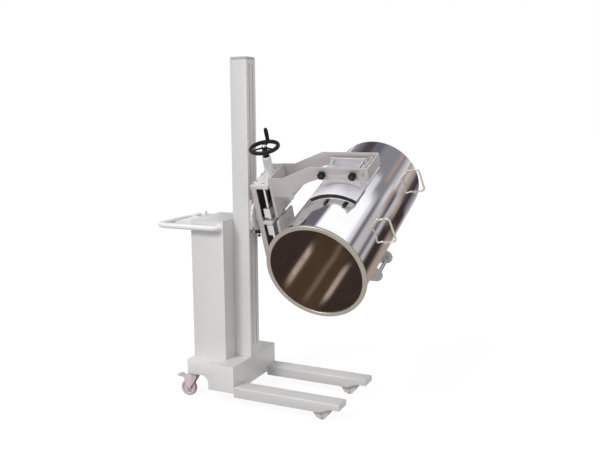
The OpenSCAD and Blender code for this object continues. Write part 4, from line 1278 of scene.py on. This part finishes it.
@dataclass
class Jaws:
    """The two padded jaws with their arms, saddles and pins."""

    half: float = 97.0
    plate_front: float = 222.0
    arm_inset: float = 8.6
    weld_lift: float = 0.6
    upper_root: tuple[float, float] = (180.0, 293.0)
    lower_root: tuple[float, float] = (-146.0, -259.0)
    pin_z: float = 333.0
    pins: tuple[float, float] = (546.0, 721.0)
    frame: Matrix = field(default_factory=PLACING.head)

    def build(self, bench: Bench) -> None:
        """Build both jaws.

        Args:
            bench: what makes and publishes pieces.
        """
        for jaw in ("upper", "lower"):
            bench.dressed(jaw + "_crosshead", "machined_steel", 1.4)
            bench.dressed(jaw + "_jaw_plate", "head_paint", 1.6)
            bench.dressed(jaw + "_arms", "head_paint", 1.2)
            bench.dressed(jaw + "_saddle", "saddle_steel", 1.0)
            bench.dressed(jaw + "_liner", "liner_rubber", 2.0)
        bench.dressed("upper_cross_members", "head_paint", 1.2)
        bench.dressed("lower_cross_rods", "ground_rod", 1.2)
        bench.dressed("saddle_pins", "machined_steel", 1.0)
        self._knobs(bench)
        self._welds(bench)
        self._studs(bench)

    def _knobs(self, bench: Bench) -> None:
        """Dress the fluted knobs and add their cap discs.

        Args:
            bench: what makes and publishes pieces.
        """
        for name, x in (("rear", self.pins[0]), ("front", self.pins[1])):
            bench.dressed(name + "_knob", "gloss_black", 2.6)
            disc = [(0, -0.4), (9.6, -0.4), (10.4, 0.2), (9.8, 0.9), (5, 1.2), (0, 1.2)]
            at = (x, -self.half - 30, self.pin_z)
            bm = bench.placed(bench.turned(disc, steps=36), self.frame, at, Axis.Y, flip=True)
            bench.publish(bm, name + "_knob_cap", "blackened_steel", name + "_pin_knob")

    def _welds(self, bench: Bench) -> None:
        """Lay the welds where the arms meet the jaw plates.

        Args:
            bench: what makes and publishes pieces.
        """
        for jaw, root in (("upper", self.upper_root), ("lower", self.lower_root)):
            runs: list[tuple[Point, Point]] = []
            x = self.plate_front + self.weld_lift
            low, high = sorted(root)
            for sign in (-1, 1):
                inner = sign * (self.half - self.arm_inset)
                runs.append(((x, inner, low + 2), (x, inner, high - 2)))
            bench.beads(jaw + "_arm_welds", runs, self.frame, jaw + "_jaw", 2.4, "head_paint")

    def _studs(self, bench: Bench) -> None:
        """Fit the screws that hold the crossheads' bridges to the jaw plates.

        Args:
            bench: what makes and publishes pieces.
        """
        for jaw, heights in (("upper", (54, 81)), ("lower", (-70, -28))):
            heads = [((self.plate_front, y, z), Axis.X, False) for y in (-22, 22) for z in heights]
            bench.screws(jaw + "_plate_screws", heads, self.frame, jaw + "_jaw", (7.0, 6.0), Drive.SOCKET)


@dataclass
class Drum:
    """The open steel drum that the clamp holds."""

    axis_x: float = DRUM_AT[0]
    radius: float = 257.0
    wall: float = 2.0
    mouth: float = -539.5
    base: float = 485.5
    rim_depth: float = 22.0
    rim_outer: float = 274.2
    rim_inner: float = 249.0
    bow_angle: float = 11.0
    bow_half: float = 69.5
    bows: tuple[float, float] = (-174.0, 390.0)
    frame: Matrix = field(default_factory=PLACING.head)

    def build(self, bench: Bench) -> None:
        """Build the drum's pieces.

        Args:
            bench: what makes and publishes pieces.
        """
        self._shell(bench)
        self._rim(bench)
        bench.dressed("drum_handles", "bow_steel", 0.8)
        self._bow_feet(bench)

    def _arc(self, centre: tuple[float, float], radius: float, start: float, end: float,
             steps: int = 6) -> list[tuple[float, float]]:
        """Return points of radius and height along a small arc.

        Args:
            centre: the arc's centre.
            radius: its radius.
            start: its first angle in degrees.
            end: its last angle in degrees.
            steps: how many parts it has.

        Returns:
            The points.
        """
        points = []
        for step in range(steps + 1):
            angle = math.radians(start + (end - start) * step / steps)
            points.append((centre[0] + radius * math.cos(angle), centre[1] + radius * math.sin(angle)))
        return points

    def _shell(self, bench: Bench) -> None:
        """Spin the drum's wall and pressed end, with the lining's finish inside.

        Args:
            bench: what makes and publishes pieces.
        """
        wall, base, start = self.wall, self.base, self.mouth + self.rim_depth
        outer = [(self.radius, start), (self.radius, base - 8)]
        outer += self._arc((self.radius - 8, base - 8), 8, 0, 90)[1:]
        outer += [(214, base), (211, base - 0.6), (207, base - 4.6), (203, base - 5.4), (90, base - 5.4),
                  (0, base - 5.4)]
        inner = [(0, base - 5.4 - wall), (90, base - 5.4 - wall), (202, base - 5.4 - wall),
                 (206, base - 6.0 - wall), (211, base - wall), (self.radius - 8, base - wall)]
        inner += self._arc((self.radius - 8, base - 8), 6, 90, 0)[1:]
        inner += [(self.radius - wall, start)]
        bm = bench.turned(outer + inner, closed=True, steps=128)
        bench.placed(bm, self.frame, (self.axis_x, 0, 0), Axis.Y)
        piece = bench.publish(bm, "drum_shell_spun", "drum_outside", "drum", ["drum_shell"], smooth=30.0)
        # The inside faces take the lining, whose gloss carries a painted reflection.
        piece.data.materials.append(bench.finishes.material["drum_inside"])
        back = (self.frame @ Matrix.Translation((self.axis_x, 0, 0))).inverted()
        for face in piece.data.polygons:
            centre = back @ face.center
            facing = (back.to_3x3() @ face.normal).normalized()
            across = math.hypot(centre.x, centre.z)
            inward = -(facing.x * centre.x + facing.z * centre.z) / max(across, 1e-6)
            if inward > 0.3 or facing.y < -0.3:
                face.material_index = 1

    def _rim(self, bench: Bench) -> None:
        """Spin the rolled rim at the drum's mouth.

        Args:
            bench: what makes and publishes pieces.
        """
        mid_r, half_r = (self.rim_outer + self.rim_inner) / 2, (self.rim_outer - self.rim_inner) / 2
        mid_y, half_y = self.mouth + self.rim_depth / 2, self.rim_depth / 2
        section = []
        for step in range(28):
            angle = math.tau * step / 28
            across, along = math.cos(angle), math.sin(angle)
            section.append((mid_r + half_r * math.copysign(abs(across) ** 0.72, across),
                            mid_y + half_y * math.copysign(abs(along) ** 0.72, along)))
        bm = bench.placed(bench.turned(section, closed=True, steps=128), self.frame,
                          (self.axis_x, 0, 0), Axis.Y)
        bench.publish(bm, "drum_rim_rolled", "rim_steel", "drum", ["drum_rim"], smooth=60.0)

    def _bow_feet(self, bench: Bench) -> None:
        """Add the weld collars at the feet of the bow handles.

        Args:
            bench: what makes and publishes pieces.
        """
        collar = [(5.6, 9.5), (6.6, 8.6), (8.2, 5.4), (10.4, 2.4), (11.6, 0.2), (11.6, -3), (5.6, -3)]
        foot = math.sqrt(self.radius ** 2 - self.bow_half ** 2)
        parts = []
        for y in self.bows:
            for side in (-1, 1):
                bm = bench.turned(collar, closed=True, steps=28)
                turn = Matrix.Translation((foot, 0, side * self.bow_half)) @ Axis.X.turn()
                bmesh.ops.transform(bm, matrix=turn, verts=bm.verts)
                about = Matrix.Rotation(math.radians(-self.bow_angle), 4, "Y")
                bmesh.ops.transform(bm, matrix=about, verts=bm.verts)
                parts.append(bench.placed(bm, self.frame, (self.axis_x, y, 0)))
        bench.publish(bench.joined(parts), "bow_weld_collars", "weld_bead", "drum", smooth=50.0)


# The studio


class Tone(Enum):
    """The tones of the panels that the drum mirrors, and of the painted reflections that its lining glows
    with.
    """

    WHITE = (0.96, 0.96, 0.98)
    SILVER = (0.62, 0.61, 0.64)
    PALE = (0.46, 0.43, 0.44)
    SAND = (0.46, 0.39, 0.34)
    BEIGE = (0.33, 0.265, 0.225)
    GREY = (0.21, 0.205, 0.225)
    TAN = (0.17, 0.135, 0.105)
    SLATE = (0.12, 0.115, 0.14)
    BROWN = (0.07, 0.046, 0.030)
    DUSK = (0.062, 0.052, 0.068)
    SOOT = (0.040, 0.028, 0.025)
    UMBER = (0.035, 0.025, 0.022)


@dataclass(frozen=True)
class Zone:
    """Panels round the drum's axis, and where they take over from the zone before.

    Each panel has its first and last angle in degrees and its tone, and fades
    into the next one. The zone fades in from start to end, in metres along its
    own axis from the middle. The first zone is there all along, without either.
    """

    panels: tuple[tuple[float, float, Tone], ...]
    start: float = 0.0
    end: float = 0.0


OUTER_ZONES = (
    Zone((
        (-178, -125, Tone.GREY), (-110, -110, Tone.PALE), (-98, -62, Tone.BEIGE),
        (-40, -26, Tone.UMBER), (-13, -13, Tone.PALE), (-4, -4, Tone.SLATE), (6, 16, Tone.PALE),
        (25, 25, Tone.SLATE), (34, 34, Tone.SILVER), (44, 105, Tone.WHITE), (115, 141, Tone.SLATE),
        (151, 151, Tone.PALE), (161, 161, Tone.UMBER), (170, 170, Tone.GREY))),
    Zone((
        (-178, -178, Tone.PALE), (-163, -163, Tone.GREY), (-148, -148, Tone.SILVER),
        (-100, -100, Tone.PALE), (-86, -86, Tone.BEIGE), (-74, -74, Tone.DUSK), (-64, -42, Tone.UMBER),
        (-30, -30, Tone.BEIGE), (-20, -12, Tone.PALE), (-6, -6, Tone.DUSK), (6, 6, Tone.BEIGE),
        (14, 14, Tone.SILVER), (26, 44, Tone.GREY), (54, 82, Tone.SILVER), (90, 90, Tone.PALE),
        (100, 100, Tone.SILVER), (112, 128, Tone.BEIGE),
        (140, 166, Tone.SILVER)), start=-0.425, end=-0.075),
    Zone((
        (-178, -178, Tone.SILVER), (-160, -92, Tone.PALE), (-76, -76, Tone.GREY),
        (-60, -60, Tone.SLATE), (-54, -54, Tone.UMBER), (-38, -38, Tone.DUSK), (-24, -24, Tone.BEIGE),
        (-8, -8, Tone.PALE), (0, 0, Tone.BEIGE), (6, 6, Tone.SILVER), (14, 14, Tone.PALE),
        (25, 25, Tone.GREY), (34, 34, Tone.BEIGE), (44, 80, Tone.GREY), (96, 110, Tone.SLATE),
        (120, 134, Tone.DUSK), (150, 150, Tone.SLATE), (168, 168, Tone.GREY)), start=0.085, end=0.225),
)
# Painted reflections: the tones that the drum's lining glows with in its gloss rays, in place of the
# reflection of its own inside.
LINING_PAINTED_REFLECTIONS = (
    Zone((
        (-178, -30, Tone.SOOT), (0, 100, Tone.BROWN), (150, 150, Tone.SOOT))),
    Zone((
        (-178, -24, Tone.SOOT), (-12, -4, Tone.SAND), (8, 60, Tone.BROWN), (76, 76, Tone.TAN),
        (90, 122, Tone.BROWN), (130, 138, Tone.SAND), (150, 150, Tone.SOOT)), start=0.0, end=0.14),
    Zone((
        (-178, -30, Tone.SOOT), (0, 62, Tone.BROWN), (78, 78, Tone.TAN), (92, 92, Tone.BROWN),
        (150, 150, Tone.SOOT)), start=0.36, end=0.46),
)


def drum_axis(middle: float) -> Matrix:
    """Return the frame whose Z axis runs along the drum at rest.

    Args:
        middle: how far along the drum its origin lies, in metres.

    Returns:
        The frame.
    """
    lean = Matrix.Rotation(math.radians(PLACING.tilt), 4, "X") @ Axis.Y.turn()
    at = PLACING.head() @ Vector(DRUM_AT)
    return Matrix.Translation(at) @ lean @ Matrix.Translation((0, 0, middle))


def ramp_colour(tree: NodeTree, turn: bpy.types.NodeSocket,
                panels: Sequence[tuple[float, float, Tone]]) -> bpy.types.NodeSocket:
    """Colour one zone's panels.

    Args:
        tree: the material's node helper.
        turn: the socket of the angle, as a part of a turn.
        panels: each panel's first and last angle and its tone.

    Returns:
        The colour's socket.
    """
    ramp = tree.add("ShaderNodeValToRGB")
    ramp.color_ramp.interpolation = "EASE"
    stops = ramp.color_ramp.elements
    stops.remove(stops[1])
    edges = [(angle, tone) for first, last, tone in panels for angle in sorted({first, last})]
    for index, (angle, tone) in enumerate(edges):
        place = (angle + 180.0) / 360.0
        stop = stops[0] if index == 0 else stops.new(place)
        stop.position = place
        stop.color = (*tone.value, 1.0)
    tree.link(turn, ramp.inputs["Fac"])
    return ramp.outputs["Color"]


def panel_colour(tree: NodeTree, place: bpy.types.NodeSocket,
                 zones: Sequence[Zone]) -> bpy.types.NodeSocket:
    """Colour soft panels by the angle about the Z axis and the height along it; the lining's painted
    reflections are coloured the same way.

    Args:
        tree: the material's node helper.
        place: the socket of the point.
        zones: the panels, from the drum's mouth on.

    Returns:
        The colour's socket.
    """
    split = tree.add("ShaderNodeSeparateXYZ")
    tree.link(place, split.inputs["Vector"])
    turn = tree.math("ARCTAN2", tree.math("MULTIPLY", split.outputs["Y"], -1.0), split.outputs["X"])
    turn = tree.math("ADD", tree.math("DIVIDE", turn, math.tau), 0.5)
    colour = ramp_colour(tree, turn, zones[0].panels)
    for zone in zones[1:]:
        along = tree.add("ShaderNodeMapRange", interpolation_type="SMOOTHSTEP",
                         in_From_Min=zone.start, in_From_Max=zone.end)
        tree.link(split.outputs["Z"], along.inputs["Value"])
        mix = tree.add("ShaderNodeMix", data_type="RGBA")
        tree.link(along.outputs["Result"], mix.inputs[0])
        tree.link(colour, mix.inputs[6])
        tree.link(ramp_colour(tree, turn, zone.panels), mix.inputs[7])
        colour = mix.outputs[2]
    return colour


@dataclass
class Studio:
    """The camera, the lights, the floor and the reflector round the drum."""

    camera_at: Point = (2147.25, -3917.34, 1719.95)
    azimuth: float = 25.133
    elevation: float = 9.516
    roll: float = -0.327
    lens_px: float = 757.22
    width_px: float = 600.0
    ring: tuple[float, float, float] = (1.2, 2.45, 1.725)
    ambient: float = 0.57
    low_gloss: float = 0.6
    sensor: float = 36.0
    floor_size: float = 30.0
    floor_grey: float = 0.42
    floor_glow: float = 1.3
    floor_share: float = 0.7

    def build(self) -> None:
        """Build the whole studio."""
        scene = bpy.context.scene
        scene.view_settings.view_transform = "Standard"
        self._camera(scene)
        self._world(scene)
        self._lamp("key", (-0.35, -1.0, 0.95), energy=1.55, spread=18.0)
        self._lamp("fill", (1.0, -0.55, 0.6), energy=0.4, spread=60.0)
        self._floor()
        self._reflector("reflector_ring", self.ring, OUTER_ZONES)

    def _camera(self, scene: bpy.types.Scene) -> None:
        """Stand the camera where the photograph was taken from.

        Args:
            scene: the scene that is built.
        """
        turn, rise, roll = (math.radians(part) for part in (self.azimuth, self.elevation, self.roll))
        ahead = Vector((-math.sin(turn) * math.cos(rise), math.cos(turn) * math.cos(rise),
                        -math.sin(rise)))
        level = Vector((math.cos(turn), math.sin(turn), 0))
        over = level.cross(ahead)
        right = level * math.cos(roll) + over * math.sin(roll)
        up = over * math.cos(roll) - level * math.sin(roll)
        data = bpy.data.cameras.new("camera")
        data.sensor_fit = "HORIZONTAL"
        data.sensor_width = self.sensor
        data.lens = self.sensor * self.lens_px / self.width_px
        data.clip_end = 100.0
        camera = bpy.data.objects.new("camera", data)
        facing = Matrix((right, up, -ahead)).transposed().to_4x4()
        camera.matrix_world = Matrix.Translation(PLACING.base() @ Vector(self.camera_at)) @ facing
        scene.collection.objects.link(camera)
        scene.camera = camera

    def _world(self, scene: bpy.types.Scene) -> None:
        """Make the world white to the eye, shaded in gloss and softer on the object.

        Args:
            scene: the scene that is built.
        """
        world = bpy.data.worlds.new("studio")
        scene.world = world
        world.use_nodes = True
        tree = NodeTree(world.node_tree)
        shade = world.node_tree.nodes["Background"]
        shade.inputs["Color"].default_value = (1, 1, 1, 1)
        path = tree.add("ShaderNodeLightPath")
        where = tree.add("ShaderNodeTexCoord")
        split = tree.add("ShaderNodeSeparateXYZ")
        tree.link(where.outputs["Generated"], split.inputs["Vector"])
        gloss = tree.add("ShaderNodeMapRange", interpolation_type="SMOOTHSTEP", in_From_Min=-0.1,
                         in_From_Max=0.75, in_To_Min=self.low_gloss - self.ambient,
                         in_To_Max=1.0 - self.ambient)
        tree.link(split.outputs["Z"], gloss.inputs["Value"])
        plain = tree.math("ADD", path.outputs["Is Camera Ray"], path.outputs["Is Transmission Ray"])
        plain = tree.math("MULTIPLY", tree.math("MINIMUM", plain, 1.0), 1.0 - self.ambient)
        shine = tree.math("MULTIPLY", path.outputs["Is Glossy Ray"], gloss.outputs["Result"])
        strength = tree.math("ADD", tree.math("ADD", plain, shine), self.ambient)
        tree.link(strength, shade.inputs["Strength"])

    def _lamp(self, name: str, source: Point, energy: float, spread: float) -> None:
        """Hang a broad, distant lamp.

        Args:
            name: the lamp's name.
            source: the direction that its light comes from.
            energy: its strength.
            spread: its apparent width in degrees.
        """
        data = bpy.data.lights.new(name, "SUN")
        data.energy = energy
        data.angle = math.radians(spread)
        lamp = bpy.data.objects.new(name, data)
        lamp.rotation_euler = Vector(source).to_track_quat("Z", "Y").to_euler()
        bpy.context.scene.collection.objects.link(lamp)

    def _floor(self) -> None:
        """Lay the pale floor, which keeps the machine's shadow."""
        bm = bmesh.new()
        bmesh.ops.create_grid(bm, x_segments=1, y_segments=1, size=self.floor_size)
        mesh = bpy.data.meshes.new("floor")
        bm.to_mesh(mesh)
        bm.free()
        floor = bpy.data.objects.new("floor", mesh)
        bpy.context.scene.collection.objects.link(floor)
        material = bpy.data.materials.new("floor_white")
        material.use_nodes = True
        tree = NodeTree(material.node_tree)
        shader = material.node_tree.nodes["Principled BSDF"]
        shader.inputs["Base Color"].default_value = (*(self.floor_grey,) * 3, 1.0)
        shader.inputs["Roughness"].default_value = 0.9
        shader.inputs["Specular IOR Level"].default_value = 0.0
        glow = tree.add("ShaderNodeEmission", in_Strength=self.floor_glow)
        path = tree.add("ShaderNodeLightPath")
        seen = tree.math("ADD", path.outputs["Is Camera Ray"], path.outputs["Is Glossy Ray"])
        mix = tree.add("ShaderNodeMixShader")
        share = tree.math("MULTIPLY", tree.math("MINIMUM", seen, 1.0), self.floor_share)
        tree.link(share, mix.inputs[0])
        tree.link(shader.outputs[0], mix.inputs[1])
        tree.link(glow.outputs[0], mix.inputs[2])
        tree.link(mix.outputs[0], material.node_tree.nodes["Material Output"].inputs["Surface"])
        mesh.materials.append(material)

    def _reflector(self, name: str, size: tuple[float, float, float], zones: Sequence[Zone]) -> None:
        """Hang a wide backdrop of soft panels round the drum, only seen in gloss.

        Args:
            name: the reflector's name.
            size: its radius, its length and how far its middle is along the
                drum's axis, in metres.
            zones: its panels.
        """
        radius, length, middle = size
        bm = bmesh.new()
        bmesh.ops.create_cone(bm, cap_ends=False, segments=128, radius1=radius, radius2=radius,
                              depth=length)
        mesh = bpy.data.meshes.new(name)
        bm.to_mesh(mesh)
        bm.free()
        tube = bpy.data.objects.new(name, mesh)
        tube.matrix_world = drum_axis(middle)
        for flag in ("visible_camera", "visible_diffuse", "visible_shadow", "visible_transmission",
                     "visible_volume_scatter"):
            setattr(tube, flag, False)
        bpy.context.scene.collection.objects.link(tube)
        mesh.materials.append(self._panels(name + "_panels", zones))

    @staticmethod
    def _panels(name: str, zones: Sequence[Zone]) -> bpy.types.Material:
        """Shade a reflector's inner face with its zones; its back is clear.

        Args:
            name: the material's name.
            zones: the panels, from the drum's mouth on.

        Returns:
            The material.
        """
        material = bpy.data.materials.new(name)
        material.use_nodes = True
        tree = NodeTree(material.node_tree)
        where = tree.add("ShaderNodeTexCoord")
        glow = tree.add("ShaderNodeEmission", in_Strength=1.2)
        tree.link(panel_colour(tree, where.outputs["Object"], zones), glow.inputs["Color"])
        clear = tree.add("ShaderNodeBsdfTransparent")
        side = tree.add("ShaderNodeNewGeometry")
        face = tree.add("ShaderNodeMixShader")
        tree.link(side.outputs["Backfacing"], face.inputs[0])
        tree.link(clear.outputs[0], face.inputs[1])
        tree.link(glow.outputs[0], face.inputs[2])
        tree.link(face.outputs[0], material.node_tree.nodes["Material Output"].inputs["Surface"])
        return material


def main() -> None:
    logging.basicConfig(level=logging.INFO, format="%(message)s")
    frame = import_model()
    bench = Bench(frame, Finishes())
    studio = Studio()
    studio.build()
    for part in (Base(), Cabinet(), Mast(), ClampHead(), Jaws(), Drum()):
        LOG.info("building %s", type(part).__name__)
        part.build(bench)


if __name__ == "__main__":
    main()
